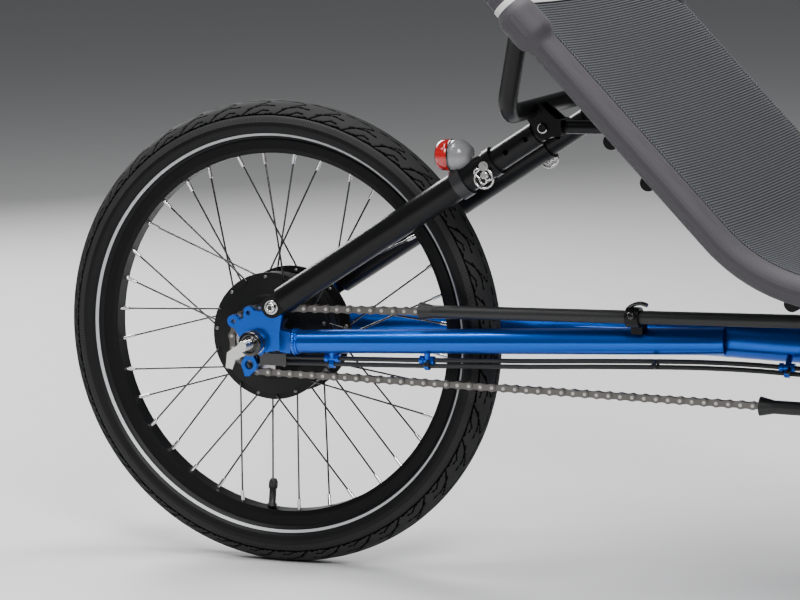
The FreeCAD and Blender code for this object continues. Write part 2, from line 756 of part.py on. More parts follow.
def cable_guide(x, cables, anchor):
    """Double guide that hangs both shift cables below anchor, a point inside a frame tube."""
    before, after = next((a, b) for a, b in zip(shift_route(0), shift_route(0)[1:]) if b.x > x)
    upper = before + (after - before) * ((x - before.x) / (after.x - before.x))
    lower = upper - V(0, 0, CABLE_DROPS[1])
    bumps = [ring(upper + V(dx, 0, 0), AXIS_X, 4.6, 1.0, 4) for dx in (-6, 6)]
    bridge = rod(upper - V(8, 0, 0), upper + V(8, 0, 0), 3.4)
    strut = rod(upper, anchor, 3.2)
    hoop = ring(lower, AXIS_X, 4.4, 1.0, 5)
    return fuse(bumps + [bridge, strut, hoop]).cut(Part.makeCompound(cables))


def cable_stop(cables):
    """Clamp on the right cross arm whose block takes the ends of both shift cables."""
    low, high = V(1008, 0, 8), kingpin_point(50)
    e = unit(high - low)
    at = low + e * ((233.5 - low.y) / e.y)
    centre, e = at_y(at, -at.y), V(e.x, -e.y, e.z)
    clamp = ring(centre, e, 20, 17, 10)
    body = block((997, -238.5, 21.5), (1013, -230.5, 38))
    arm = rod(centre - e * 8, centre + e * 8, 17)
    return fuse([clamp, body]).cut(arm).cut(Part.makeCompound(cables))


def stay_bridge(stays):
    """Bent brace between both chainstays, ahead of the rear tyre."""
    bar = swept(centre_line([V(277, 48, 8), V(312, 0, 0), V(277, -48, 8)], [40]), 6)
    for stay in stays:
        bar = bar.cut(stay)
    return largest(bar)


def idler_post():
    """Bolted post that carries the idler on the right of the main tube."""
    post = plate([(893, 24), (917, 24), (913, IDLER_Z), (897, IDLER_Z)], -45.5, -40)
    foot = block((893, -45.5, 4), (917, -10, 24))
    bolt = rod(V(IDLER_X, -45.5, IDLER_Z), V(IDLER_X, -59, IDLER_Z), 4.0)
    head = rod(V(IDLER_X, -58.3, IDLER_Z), V(IDLER_X, -62, IDLER_Z), 7)
    eye = rod(V(IDLER_X, -45.5, IDLER_Z), V(IDLER_X, -40, IDLER_Z), 11)
    return fuse([post, foot, bolt, head, eye]).cut(main_solid())


def boom_clamp(s):
    """Pinch clamp round the boom's sleeve, s from the main tube's front end."""
    centre = boom_point(s)
    clamp = ring(centre, unit(boom_point(1) - boom_point(0)), SLEEVE_R + 4, SLEEVE_R, 14)
    lug = block((centre.x - 7, -11, centre.z - 34), (centre.x + 7, 11, centre.z - 22))
    return fuse([clamp, lug]).cut(main_solid())


def tube_collar(stay):
    """Clamp that hangs the upper chain tube beside the right chainstay."""
    x = 415.0
    centre = V(x, CHAIN_Y, upper_run_z(x))
    collar = ring(centre, AXIS_X, 10.5, CHAIN_TUBE_R + 0.4, 14)
    arm = block((x - 6, CHAIN_Y + 8, 25), (x + 6, -27, 42))
    return largest(fuse([collar, arm]).cut(stay))


def frame_fittings():
    """Welded or clamped brackets of the frame."""
    right = mirrored(chainstay())
    cables = shift_cables()
    guides = [largest(cable_guide(85, cables, V(85, -64.3, 4)).cut(right)),
              largest(cable_guide(188, cables, V(188, -52.3, 8)).cut(right)),
              largest(cable_guide(568, cables, V(568, -8, 14)).cut(main_solid()))]
    clamps = [boom_clamp(SLEEVE_L - 34), boom_clamp(SLEEVE_L - 12)]
    return guides + clamps + [stay_bridge([chainstay(), right]), idler_post(),
                              tube_collar(right), cable_stop(cables)]


def frame():
    arm = cross_arm()
    stay = chainstay()
    side = dropout()
    return {
        "main_tube": [main_tube()],
        "chainstay_left": [stay],
        "chainstay_right": [mirrored(stay)],
        "dropout_left": [side],
        "dropout_right": [mirrored(side)],
        "cross_arm_left": [arm],
        "cross_arm_right": [mirrored(arm)],
        "boom": [boom()],
        "bottom_bracket": bottom_bracket(),
        "rear_axle": [rear_axle()],
        "rear_fasteners": rear_fasteners(),
        "derailleur_hanger": [derailleur_hanger()],
        "frame_fittings": frame_fittings(),
        "shift_cables": shift_cables(),
    }


# --- seat -----------------------------------------------------------------------------------

def seat_line():
    """Corner and end points of a side rail's centre line: top, bend, front."""
    a, b = math.radians(BACK_ANGLE), math.radians(BASE_ANGLE)
    down = V(math.cos(a), 0, -math.sin(a))
    ahead = V(math.cos(b), 0, math.sin(b))
    touch = SEAT_BEND - V(math.sin(a), 0, math.cos(a)) * SEAT_BEND_R
    corner = touch + down * (SEAT_BEND_R * math.tan((a + b) / 2))
    top = corner - down * ((SEAT_TOP_Z - corner.z) / math.sin(a))
    front = corner + ahead * ((SEAT_FRONT_X - corner.x) / ahead.x)
    return top, corner, front


def at_y(point, y):
    return V(point.x, y, point.z)


def rail_path(y):
    """Side rail's centre line, without the rounded corners at its ends."""
    top, corner, front = seat_line()
    inset = CORNER_R + 5
    start = at_y(top, y) + unit(corner - top) * inset
    end = at_y(front, y) + unit(corner - front) * inset
    return centre_line([start, at_y(corner, y), end], [SEAT_BEND_R])


def rail_point(x):
    """Point of the rail's centre line at this X, and the direction that faces behind it."""
    top, _, front = seat_line()
    a, b = math.radians(BACK_ANGLE), math.radians(BASE_ANGLE)
    if x < SEAT_BEND.x - SEAT_BEND_R * math.sin(a):
        behind = V(-math.sin(a), 0, -math.cos(a))
        return V(x, 0, top.z - (x - top.x) * math.tan(a)), behind
    if x > SEAT_BEND.x + SEAT_BEND_R * math.sin(b):
        behind = V(math.sin(b), 0, -math.cos(b))
        return V(x, 0, front.z + (x - front.x) * math.tan(b)), behind
    turn = math.asin((x - SEAT_BEND.x) / SEAT_BEND_R)
    behind = V(math.sin(turn), 0, -math.cos(turn))
    return SEAT_BEND + behind * SEAT_BEND_R, behind


def seat_cross(x, r, back):
    """Cross tube behind the rails at this X."""
    point, behind = rail_point(x)
    centre = point + behind * back
    return rod(at_y(centre, -RAIL_Y), at_y(centre, RAIL_Y), r)


def pivot_centre():
    point, behind = rail_point(PIVOT_X)
    return point + behind * PIVOT_BACK


def seat_frame():
    """Closed loop of bent tube with its cross tubes and the recline pivot tube."""
    top, corner, front = seat_line()
    path = centre_line([top, at_y(top, RAIL_Y), at_y(corner, RAIL_Y), at_y(front, RAIL_Y),
                        front], [CORNER_R, SEAT_BEND_R, CORNER_R])
    half = swept(path, RAIL_R)
    bore = swept(path, RAIL_R - RAIL_WALL)
    crosses = [seat_cross(x, CROSS_R, CROSS_BACK) for x in SEAT_CROSS_X]
    crosses.append(seat_cross(PIVOT_X, PIVOT_R, PIVOT_BACK))
    loop = fuse([half, mirrored(half)] + crosses)
    return loop.cut(Part.makeCompound([bore, mirrored(bore)]))


def seat_bracket():
    """Clamp on the main tube whose ears carry the seat's pivot tube."""
    pivot = pivot_centre()
    axis = unit(MAIN_FRONT - MAIN_BACK)
    seat_on = MAIN_BACK + axis * ((pivot.x - MAIN_BACK.x) / axis.x)
    clamp = ring(seat_on, axis, MAIN_R + 6, MAIN_R - 2, 44)
    post = block((pivot.x - 11, -21, seat_on.z + 18), (pivot.x + 11, 21, pivot.z))
    eye = rod(at_y(pivot, -21), at_y(pivot, 21), PIVOT_R + 5)
    window = block((pivot.x - 20, -13, seat_on.z + 30), (pivot.x + 20, 13, pivot.z + 20))
    solid = fuse([clamp, post, eye]).cut(window).cut(main_solid())
    return solid.cut(rod(at_y(pivot, -22), at_y(pivot, 22), PIVOT_R + RUN_GAP))


def brace_clamp():
    """Left clamp that holds the brace's leg to the seat rail."""
    leg = BRACE_LEG
    point, _ = rail_point(CLAMP_X)
    along = unit(rail_point(CLAMP_X + 1)[0] - point)
    rail = at_y(point, RAIL_Y)
    return fuse([ring(rail, along, 17.5, RAIL_R, 22), rod(leg, rail, 9.5)]), rail, along


def seat_brace():
    """Bent cross tube between the rails, with forks for both seat stays and two arms."""
    foot = V(318, 158, 256)
    points = [BRACE_LEG, foot, at_y(foot, -foot.y), at_y(BRACE_LEG, -BRACE_LEG.y)]
    bar = swept(centre_line(points, [38, 38]), 9.5)
    clamp, rail, along = brace_clamp()
    clamp = clamp.cut(rod(rail - along * 40, rail + along * 40, RAIL_R))
    solids = [bar, clamp, mirrored(clamp)]
    x, z = STAY_HEAD.x, STAY_HEAD.z
    outline = [(308, 258), (328, 262), (346, 247), (352, 246), (352, 230), (333, 228),
               (323, 236)]
    cross, behind = rail_point(SEAT_CROSS_X[1])
    end = cross + behind * CROSS_BACK
    for sign in (-1, 1):
        for y in (62.2, 87.8):
            y0 = min(sign * y, sign * (y + 4))
            solids.append(plate(outline, y0, y0 + 4))
            solids.append(rod(V(x, y0, z), V(x, y0 + 4, z), 10))
        y0 = min(sign * 62.2, sign * 91.8)
        solids.append(block((346.5, y0, 230), (352, y0 + 29.6, 246)))
        solids.append(rod(V(x, y0 - 3, z), V(x, y0 + 32.6, z), 4.0))
        solids.append(rod(V(350, sign * STAY_Y, 238), at_y(end, sign * STAY_Y), 6.8))
    solid = fuse(solids)
    return solid.cut(seat_cross(SEAT_CROSS_X[1], CROSS_R, CROSS_BACK))


def seat_cover():
    """Mesh panel in the rails' plane with a sleeve round each rail."""
    bores = []
    sleeves = []
    for y in (-RAIL_Y, RAIL_Y):
        path = rail_path(y)
        sleeves.append(swept(path, SLEEVE_OUT))
        bores.append(swept(path, RAIL_R + SLEEVE_GAP))
    path = rail_path(0)
    edge = path.OrderedEdges[0]
    start = edge.valueAt(edge.FirstParameter)
    along = edge.tangentAt(edge.FirstParameter)
    up = AXIS_Y.cross(along) * 1.5
    side = AXIS_Y * (RAIL_Y - 13.5)
    corners = [start + up + side, start + up - side, start - up - side, start - up + side]
    sheet = path.makePipeShell([Part.makePolygon(corners + corners[:1])], True, False)
    cover = fuse([sheet] + sleeves)
    clamp, _, _ = brace_clamp()
    gaps = [seat_cross(x, CROSS_R + 1, CROSS_BACK) for x in SEAT_CROSS_X]
    gaps.append(seat_cross(PIVOT_X, PIVOT_R + 1, PIVOT_BACK))
    point, _ = rail_point(CLAMP_X)
    along = unit(rail_point(CLAMP_X + 1)[0] - point)
    for y in (-RAIL_Y, RAIL_Y):
        gaps.append(ring(at_y(point, y), along, 18.5, 6, 24))
    return cover.cut(Part.makeCompound(bores)).cut(Part.makeCompound(gaps + [
        clamp, mirrored(clamp)]))


def stay_point(s, y=STAY_Y):
    """Point on a seat stay's axis, s from its foot."""
    return at_y(STAY_FOOT, y) + unit(STAY_HEAD - STAY_FOOT) * s


def strut_lower():
    """Left stay's lower tube with its end plug and the lock pin's hole."""
    body = rod(stay_point(14), stay_point(STAY_LOWER_L), STAY_LOWER_R)
    bore = rod(stay_point(26), stay_point(STAY_LOWER_L + 1), STAY_UPPER_R + RUN_GAP)
    tongue = rod(V(25, 72.2, 40), V(25, 81.8, 40), 11.5)
    e = unit(STAY_HEAD - STAY_FOOT)
    n = V(-e.z, 0, e.x) * 11.0
    a, b = V(25, 0, 40), stay_point(16, 0)
    web = plate([((a + n).x, (a + n).z), ((b + n).x, (b + n).z), ((b - n).x, (b - n).z),
                 ((a - n).x, (a - n).z)], 72.2, 81.8)
    collar = ring(stay_point(STAY_LOWER_L - 4), e, STAY_LOWER_R + 1.2, STAY_UPPER_R + 0.5, 8)
    solid = fuse([body, tongue, web]).cut(bore)
    solid = fuse([solid, collar.cut(bore)])
    pin = stay_point(LOCK_S)
    holes = [rod(V(25, 70, 40), V(25, 84, 40), 4.0 + RUN_GAP),
             rod(pin, pin + AXIS_Y * 20, 2.6)]
    return solid.cut(Part.makeCompound(holes))


def strut_upper():
    """Left stay's inner tube with its row of holes and the eye at the head."""
    length = (STAY_HEAD - STAY_FOOT).Length
    body = tube(stay_point(150), stay_point(length - 14), STAY_UPPER_R, 10.6)
    plug = rod(stay_point(length - 22), stay_point(length - 9), 10.6)
    eye = rod(stay_point(length, STAY_Y - 10.3), stay_point(length, STAY_Y + 10.3), 12)
    solid = fuse([body, plug, eye])
    cuts = [rod(stay_point(length, 60), stay_point(length, 95), 4.0 + HEAD_SLOP)]
    for k in range(-4, 3):
        hole = stay_point(LOCK_S + k * HOLE_PITCH)
        cuts.append(rod(hole - AXIS_Y * 20, hole + AXIS_Y * 20, 2.6))
    return solid.cut(Part.makeCompound(cuts))


def lock_pin():
    """Left lock pin with its pull ring."""
    pin = stay_point(LOCK_S)
    shank = rod(pin + AXIS_Y * 13.2, pin + AXIS_Y * 21, 2.5)
    head = rod(pin + AXIS_Y * 15.6, pin + AXIS_Y * 20, 5.0)
    loop = Part.makeTorus(10, 1.1, pin + V(0, 18.5, -12.4), AXIS_Y)
    return fuse([shank, head, loop])


def tail_light():
    """Round rear light on a bracket, clamped to the right stay."""
    y, z = -STAY_Y, 206.0
    e = unit(STAY_HEAD - STAY_FOOT)
    stay = rod(stay_point(200, y), stay_point(300, y), STAY_LOWER_R)
    room = rod(stay_point(190, y), stay_point(310, y), STAY_LOWER_R + 1)
    band = ring(stay_point(256, y), e, STAY_LOWER_R + 2.4, STAY_LOWER_R, 12)
    post = block((233, y - 6, 186), (245, y + 6, 197))
    base = fuse([band, post]).cut(stay)
    shell = fuse([rod(V(229, y, z), V(240, y, z), 16),
                  taper(V(240, y, z), V(250, y, z), 16, 9)]).cut(base).cut(room)
    lens = fuse([rod(V(220, y, z), V(229, y, z), 15.5),
                 taper(V(220, y, z), V(214, y, z), 15.5, 10)]).cut(base).cut(room)
    return [base, largest(shell), largest(lens)]


def seat():
    lower, upper, pin = strut_lower(), strut_upper(), lock_pin()
    return {
        "seat_frame": [seat_frame()],
        "seat_bracket": [seat_bracket()],
        "seat_brace": [seat_brace()],
        "seat_cover": [seat_cover()],
        "strut_lower_left": [lower],
        "strut_lower_right": [mirrored(lower)],
        "strut_upper_left": [upper],
        "strut_upper_right": [mirrored(upper)],
        "lock_pin_left": [pin],
        "lock_pin_right": [mirrored(pin)],
        "tail_light": tail_light(),
    }


# --- steering -------------------------------------------------------------------------------

def tie_point():
    """Centre of the left tie rod eye."""
    low = kingpin_point(TIE_Z)
    return V(low.x - ARM_L, low.y, TIE_Z)


def tie_axis():
    """Axis of the left tie rod stud, set so that the rod's other end follows its own arm."""
    a = head_axis()
    tilt = 2 * abs(a.y) * ARM_L / (2 * tie_point().y)
    return unit(V(a.x + tilt, a.y, a.z))


def knuckle():
    """Left kingpin: steerer, stub axle, and steering arm with the tie rod's stud."""
    eye, axis = tie_point(), tie_axis()
    hub = V(WHEELBASE, KINGPIN_Y, 0)
    steps = [rod(kingpin_point(-20), kingpin_point(HEAD_LOW - 0.1), HEAD_TUBE_R),
             rod(kingpin_point(HEAD_LOW - 1), kingpin_point(114), STEERER_R),
             rod(hub, at_y(hub, HALF_TRACK + 30), 7.5),
             rod(hub, at_y(hub, HALF_TRACK - 40.5), 12),
             rod(at_y(hub, HALF_TRACK + 28.3), at_y(hub, HALF_TRACK + 33), 12),
             rod(kingpin_point(-12), eye + axis * 16, 8),
             rod(eye + axis * 9, eye + axis * 22, 8),
             rod(eye - axis * 8, eye + axis * 10, STUD_R),
             rod(eye - axis * 11, eye - axis * 6.4, 7)]
    return fuse(steps)


def bar_grip(s):
    """Point on the handlebar's upright part, s down from its top."""
    down = unit(BAR_POINTS[1] - BAR_POINTS[2])
    return BAR_POINTS[2] + down * s


def lever_pivot():
    return bar_grip(142) + V(29, 0, 0)


def cable_barrel():
    """Both ends of the brake cable's barrel, which points down past the handlebar."""
    pivot = lever_pivot()
    return pivot + V(-15, 4, 2), pivot + V(-10, 12, -13)


def handlebar(grip_l):
    """Left handlebar with its clamp, grip, bell-shaped end and brake lever perch."""
    clamp = rod(kingpin_point(CLAMP_H - 15), kingpin_point(CLAMP_H + 15), 18)
    bar = swept(centre_line(list(BAR_POINTS), [45]), BAR_R)
    steerer = rod(kingpin_point(60), kingpin_point(130), STEERER_R)
    bar = fuse([clamp, bar]).cut(steerer)
    grip = tube(bar_grip(grip_l), bar_grip(-3), 15.5, BAR_R)
    cap = rod(bar_grip(-0.1), bar_grip(-4), 15.5)
    pivot = lever_pivot()
    ears = [block((pivot.x - 22, y - 2, pivot.z - 7), (pivot.x + 6, y + 2, pivot.z + 7))
            for y in (pivot.y - 8.1, pivot.y + 8.1)]
    body = block((pivot.x - 26, pivot.y - 10.1, pivot.z - 7),
                 (pivot.x - 13, pivot.y + 10.1, pivot.z + 7))
    pin = rod(pivot - AXIS_Y * 10.1, pivot + AXIS_Y * 10.1, 3.0)
    collar = rod(bar_grip(133.5), bar_grip(147.5), 15)
    barrel = rod(*cable_barrel(), 4.5)
    perch = fuse([collar, body, pin, barrel] + ears)
    perch = perch.cut(swept(centre_line(list(BAR_POINTS), [45]), BAR_R))
    return [bar, fuse([grip, cap]).cut(rod(bar_grip(0), bar_grip(170), BAR_R)), perch]


def brake_lever():
    """Left brake lever: eye on the perch's pin, blade in front of the grip."""
    pivot = lever_pivot()
    eye = rod(pivot - AXIS_Y * 5.8, pivot + AXIS_Y * 5.8, 6.5)
    path = centre_line([pivot, pivot + V(16, 0, 22), pivot + V(12, 0, 80),
                        pivot + V(20, 0, 106)], [22, 60])
    blade = fuse([eye, swept(path, 4.6), Part.makeSphere(6.5, pivot + V(20, 0, 106))])
    return blade.cut(rod(pivot - AXIS_Y * 8, pivot + AXIS_Y * 8, 3.0 + RUN_GAP))


def twist_shifter():
    """Ribbed turning sleeve between the right grip and the lever."""
    body = tube(bar_grip(124), bar_grip(88), 18.5, BAR_R + RUN_GAP)
    axis = unit(bar_grip(0) - bar_grip(10))
    ribs = []
    for k in range(18):
        rib = rod(bar_grip(121) + V(18.5, 0, 0), bar_grip(91) + V(18.5, 0, 0), 1.6)
        ribs.append(spin(rib, 20 * k, bar_grip(100), axis))
    return fuse([body] + ribs).cut(tube(bar_grip(130), bar_grip(80), BAR_R + RUN_GAP, 1))


def shifter_housing():
    """Fixed ring under the turning sleeve, with the outlets of both shift cables."""
    ring_part = tube(bar_grip(132.6), bar_grip(124.4), 17.5, BAR_R)
    outlets = [rod(bar_grip(128) + V(12, y, 0), bar_grip(128) + V(27, 1.4 * y, 4), 3.2)
               for y in (-5.0, 5.0)]
    solid = fuse([ring_part] + outlets)
    return solid.cut(rod(bar_grip(120), bar_grip(140), BAR_R))


def caliper():
    """Left disc brake caliper on its bracket from the kingpin block."""
    a = math.radians(CALIPER_ANGLE)
    spot = V(WHEELBASE + CALIPER_R * math.cos(a), ROTOR_Y, CALIPER_R * math.sin(a))
    body = block((spot.x - 22, ROTOR_Y - 13, spot.z - 15),
                 (spot.x + 22, ROTOR_Y + 10, spot.z + 15))
    body = spin(body, 90 - CALIPER_ANGLE, spot)
    slot = ring(V(WHEELBASE, ROTOR_Y, 0), AXIS_Y, ROTOR_R + 2, 1, 3.4)
    cap = rod(spot - AXIS_Y * 13, spot - AXIS_Y * 19, 12)
    inner = CALIPER_R - 8
    bracket = rod(kingpin_point(8), V(WHEELBASE + inner * math.cos(a), ROTOR_Y - 8,
                                      inner * math.sin(a)), 6)
    head = rod(kingpin_point(HEAD_LOW - 2), kingpin_point(HEAD_HIGH), HEAD_TUBE_R + 1.5)
    return fuse([body, cap, bracket]).cut(slot).cut(head).cut(knuckle())


def brake_cable():
    """Left brake cable from the lever's barrel to the caliper's outer face."""
    start = cable_barrel()[1]
    a = math.radians(CALIPER_ANGLE)
    out = V(math.cos(a), 0, math.sin(a))
    end = V(WHEELBASE, ROTOR_Y - 7, 0) + out * (CALIPER_R + 15)
    way = unit(start - cable_barrel()[0])
    points = [start, start + way * 22, V(899, 325.5, 121), V(922, 327, 98.5),
              end + out * 24, end]
    return cable(points, CABLE_R)


def tie_rod():
    """Rod between the steering arms; the left eye is the open pivot, with clearance."""
    left, axis = tie_point(), tie_axis()
    right = V(left.x, -left.y, left.z)
    mirror_axis = V(axis.x, -axis.y, axis.z)
    bar = rod(right + AXIS_Y * 6, left - AXIS_Y * 8, 6)
    right_eye = rod(right - mirror_axis * 6, right + mirror_axis * 6, 10)
    left_eye = rod(left - axis * 6, left + axis * 6, 12)
    sockets = [rod(right + AXIS_Y * 14, right + AXIS_Y * 44, 8),
               rod(left - AXIS_Y * 16, left - AXIS_Y * 46, 8)]
    solid = fuse([bar, right_eye, left_eye] + sockets)
    return solid.cut(rod(right - mirror_axis * 12, right + mirror_axis * 12,
                         STUD_R + RUN_GAP)).cut(rod(left - axis * 14, left + axis * 14,
                                                    STUD_R + 2.0))


def steering():
    left_bar = handlebar(126)
    right_bar = [mirrored(s) for s in handlebar(86) + [shifter_housing()]]
    pin, lever, brake, line = knuckle(), brake_lever(), caliper(), brake_cable()
    return {
        "kingpin_left": [pin],
        "kingpin_right": [mirrored(pin)],
        "handlebar_left": left_bar,
        "handlebar_right": right_bar,
        "brake_lever_left": [lever],
        "brake_lever_right": [mirrored(lever)],
        "twist_shifter": [mirrored(twist_shifter())],
        "caliper_left": [brake],
        "caliper_right": [mirrored(brake)],
        "brake_cable_left": [line],
        "brake_cable_right": [mirrored(line)],
        "tie_rod": [tie_rod()],
    }


# --- crank ----------------------------------------------------------------------------------

def chainring():
    """Toothed ring with five inward tabs for its bolts."""
    centre = (CRANK.x, CRANK.z)
    blank = toothed_wheel(RING_TEETH, 2.1, wheel_phase(centre, stretch_start(3)))
    blank = blank.cut(rod(V(0, -9, 0), V(0, 9, 0), 63))
    tabs = []
    holes = []
    for k in range(5):
        a = math.radians(72 * k)
        x, z = BOLT_CIRCLE_R * math.cos(a), BOLT_CIRCLE_R * math.sin(a)
        tabs.append(rod(V(x, -1.05, z), V(x, 1.05, z), 10))
        holes.append(rod(V(x, -5, z), V(x, 5, z), 4.0))
    ring_plate = fuse([blank] + tabs).cut(Part.makeCompound(holes))
    return moved(ring_plate, CRANK.x, RING_Y, CRANK.z)


def crank_arm(tip_x):
    """Crank arm in the plane y = 58 to 70, from the spindle to the pedal's eye at tip_x."""
    sign = 1 if tip_x > 0 else -1
    outline = [(0, -14), (0, 14), (sign * 60, 11), (tip_x, 10), (tip_x, -10),
               (sign * 60, -11)]
    arm = fuse([plate(outline, 58, 70), rod(V(0, 40, 0), V(0, 70, 0), 15),
                rod(V(tip_x, 58, 0), V(tip_x, 70, 0), 13)])
    spindle = rod(V(tip_x, 66, 0), V(tip_x, 162, 0), 5.0)
    shoulder = rod(V(tip_x, 66, 0), V(tip_x, 73, 0), 8.0)
    end = rod(V(tip_x, 158.5, 0), V(tip_x, 162, 0), 8.0)
    return fuse([arm, spindle, shoulder, end])


def pedal():
    """Platform pedal about its spindle, from y = 75 to 158."""
    barrel = rod(V(0, 75, 0), V(0, 158, 0), 11)
    plates = [block((-42, y, -11), (42, y + 5, 11)) for y in (78, 114, 150)]
    rails = [block((x, 78, -9), (x + 5, 155, 9)) for x in (-44, 39)]
    teeth = [rod(V(x, y, -13.5), V(x, y, 13.5), 2.2)
             for x in (-32, -20, 20, 32) for y in (80.5, 116.5, 152.5)]
    return fuse([barrel] + plates + rails + teeth).cut(
        rod(V(0, 70, 0), V(0, 165, 0), 5.0 + RUN_GAP))


def crank():
    right = mirrored(crank_arm(CRANK_L))
    spider = []
    bolts = []
    for k in range(5):
        arm = plate([(10, -9), (10, 9), (BOLT_CIRCLE_R, 7), (BOLT_CIRCLE_R, -7)], -58, -53.1)
        tip = rod(V(BOLT_CIRCLE_R, -58, 0), V(BOLT_CIRCLE_R, -53.1, 0), 9)
        spider.append(spin(fuse([arm, tip]), -72 * k))
        bolt = fuse([rod(V(BOLT_CIRCLE_R, -60, 0), V(BOLT_CIRCLE_R, -50, 0), 4.0),
                     rod(V(BOLT_CIRCLE_R, -60, 0), V(BOLT_CIRCLE_R, -58, 0), 7),
                     rod(V(BOLT_CIRCLE_R, -50.9, 0), V(BOLT_CIRCLE_R, -49.5, 0), 7)])
        bolts.append(spin(bolt, -72 * k))
    spindle = rod(V(0, -45, 0), V(0, 45, 0), 8.5)
    right = fuse([right, spindle] + spider + bolts)
    left = crank_arm(-CRANK_L).cut(rod(V(0, 0, 0), V(0, 45, 0), 8.5))

    def placed(shape, x=0.0):
        return [moved(shape, CRANK.x + x, 0, CRANK.z)]

    return {
        "chainring": [chainring()],
        "crank_right": placed(right),
        "crank_left": placed(left),
        "pedal_right": placed(mirrored(pedal()), CRANK_L),
        "pedal_left": placed(pedal(), -CRANK_L),
    }


# --- output ---------------------------------------------------------------------------------

def all_nodes():
    nodes = {}
    for group in (frame(), rear_wheel(), front_wheel("left", 1), front_wheel("right", -1),
                  chain(), chain_tubes(), idler(), seat(), steering(), crank()):
        nodes.update(group)
    return nodes


def save(nodes):
    """Write one STEP file per node, in the row frame."""
    boxes = [s.BoundBox for solids in nodes.values() for s in solids]
    low_x = min(b.XMin for b in boxes)
    high_x = max(b.XMax for b in boxes)
    shift = V(-(low_x + high_x) / 2, 0, WHEEL_R)
    print("rear axle in the row frame, mm:", round(shift.x, 3), round(shift.z, 3))
    for name, solids in nodes.items():
        shape = Part.makeCompound([s for part in solids for s in part.Solids])
        shape.translate(shift)
        shape.exportStep("parts/" + name + ".step")
        state = "" if shape.isValid() else "  NOT VALID"
        print(name, len(shape.Solids), round(shape.Volume), state)


os.makedirs("parts", exist_ok=True)
save(all_nodes())
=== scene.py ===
import math
import bmesh
import bpy
import numpy as np
from mathutils import Matrix, Vector


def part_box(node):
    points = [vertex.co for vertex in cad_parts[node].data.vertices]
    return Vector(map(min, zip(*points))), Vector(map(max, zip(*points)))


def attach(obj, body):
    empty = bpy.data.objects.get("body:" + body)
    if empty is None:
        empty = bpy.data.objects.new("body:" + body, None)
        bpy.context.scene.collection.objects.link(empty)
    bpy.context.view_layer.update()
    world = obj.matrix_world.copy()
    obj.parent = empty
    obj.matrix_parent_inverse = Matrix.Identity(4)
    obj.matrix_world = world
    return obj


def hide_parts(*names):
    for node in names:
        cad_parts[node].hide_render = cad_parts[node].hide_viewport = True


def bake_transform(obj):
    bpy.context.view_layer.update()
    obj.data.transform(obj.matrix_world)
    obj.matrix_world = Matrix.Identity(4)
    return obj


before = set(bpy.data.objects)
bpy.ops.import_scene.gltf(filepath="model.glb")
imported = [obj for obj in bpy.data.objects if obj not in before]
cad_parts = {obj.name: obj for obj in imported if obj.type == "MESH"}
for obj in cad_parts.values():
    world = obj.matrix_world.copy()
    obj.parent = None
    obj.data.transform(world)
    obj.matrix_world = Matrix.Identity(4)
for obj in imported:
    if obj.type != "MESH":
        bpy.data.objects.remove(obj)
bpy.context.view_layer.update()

# Everything is in metres. Places come from the CAD nodes' boxes, and the part's own small
# dimensions are named here.
MM = 0.001


def centre_of(node):
    """Middle of a CAD node's box."""
    low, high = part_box(node)
    return (low + high) / 2


AXLE = centre_of("rear_tyre")          # centre of the rear wheel
TYRE_MAJOR = 226.5 * MM
TYRE_MINOR = 23.5 * MM
RIM_INNER = 194.2 * MM
BACK_SLOPE = math.radians(46.3)
BASE_SLOPE = math.radians(6.0)
SEAT_BEND_R = 165 * MM


# --- camera, light and floor ---------------------------------------------------------------

def make_camera():
    """Long lens from the tricycle's right rear quarter, a little above the axle."""
    azimuth, elevation, roll = (math.radians(a) for a in (22.744, 8.755, -0.778))
    look = Vector((-math.sin(azimuth) * math.cos(elevation),
                   math.cos(azimuth) * math.cos(elevation), -math.sin(elevation)))
    right = Vector((math.cos(azimuth), math.sin(azimuth), 0))
    up = right.cross(look)
    rolled_right = right * math.cos(roll) + up * math.sin(roll)
    rolled_up = up * math.cos(roll) - right * math.sin(roll)
    data = bpy.data.cameras.new("camera")
    data.lens = 152.0
    data.sensor_width = 36.0
    data.clip_start = 0.1
    data.clip_end = 60.0
    camera = bpy.data.objects.new("camera", data)
    bpy.context.scene.collection.objects.link(camera)
    turn = Matrix((rolled_right, rolled_up, -look)).transposed().to_4x4()
    camera.matrix_world = Matrix.Translation(AXLE + Vector((1.5008, -3.2533, 0.5843))) @ turn
    bpy.context.scene.camera = camera


def add_light(name, place, size, power, target):
    data = bpy.data.lights.new(name, "AREA")
    data.shape = "RECTANGLE"
    data.size, data.size_y = size
    data.energy = power
    light = bpy.data.objects.new(name, data)
    light.location = place
    light.rotation_euler = (Vector(target) - Vector(place)).to_track_quat("-Z", "Y").to_euler()
    bpy.context.scene.collection.objects.link(light)


def make_stage():
    """Pale seamless floor, soft overhead light and a weak sky."""
    world = bpy.data.worlds.new("studio")
    bpy.context.scene.world = world
    world.use_nodes = True
    background = world.node_tree.nodes["Background"]
    background.inputs["Color"].default_value = (0.80, 0.82, 0.85, 1)
    background.inputs["Strength"].default_value = 0.13
    add_light("key", (0.9, -2.4, 2.6), (1.3, 1.3), 105, (-0.2, 0, 0.35))
    add_light("top", (-0.6, 0.2, 2.8), (2.6, 0.7), 95, (-0.3, 0, 0.3))
    add_light("back", (-2.4, 1.8, 1.6), (1.2, 1.2), 60, (-0.4, 0, 0.35))
    add_light("strip", (-1.05, -0.82, 2.25), (0.14, 1.9), 14, (-0.18, -0.08, 0.25))
    floor = grid_object("floor", [[Vector((x, y, 0)) for x in (-14, 14)] for y in (-14, 14)])
    floor.data.materials.append(FLOOR)


# --- materials ------------------------------------------------------------------------------

FINISHES = {}                          # what each plain material is made of, by its name


def new_material(name):
    material = bpy.data.materials.new(name)
    material.use_nodes = True
    return material, material.node_tree.nodes, material.node_tree.links


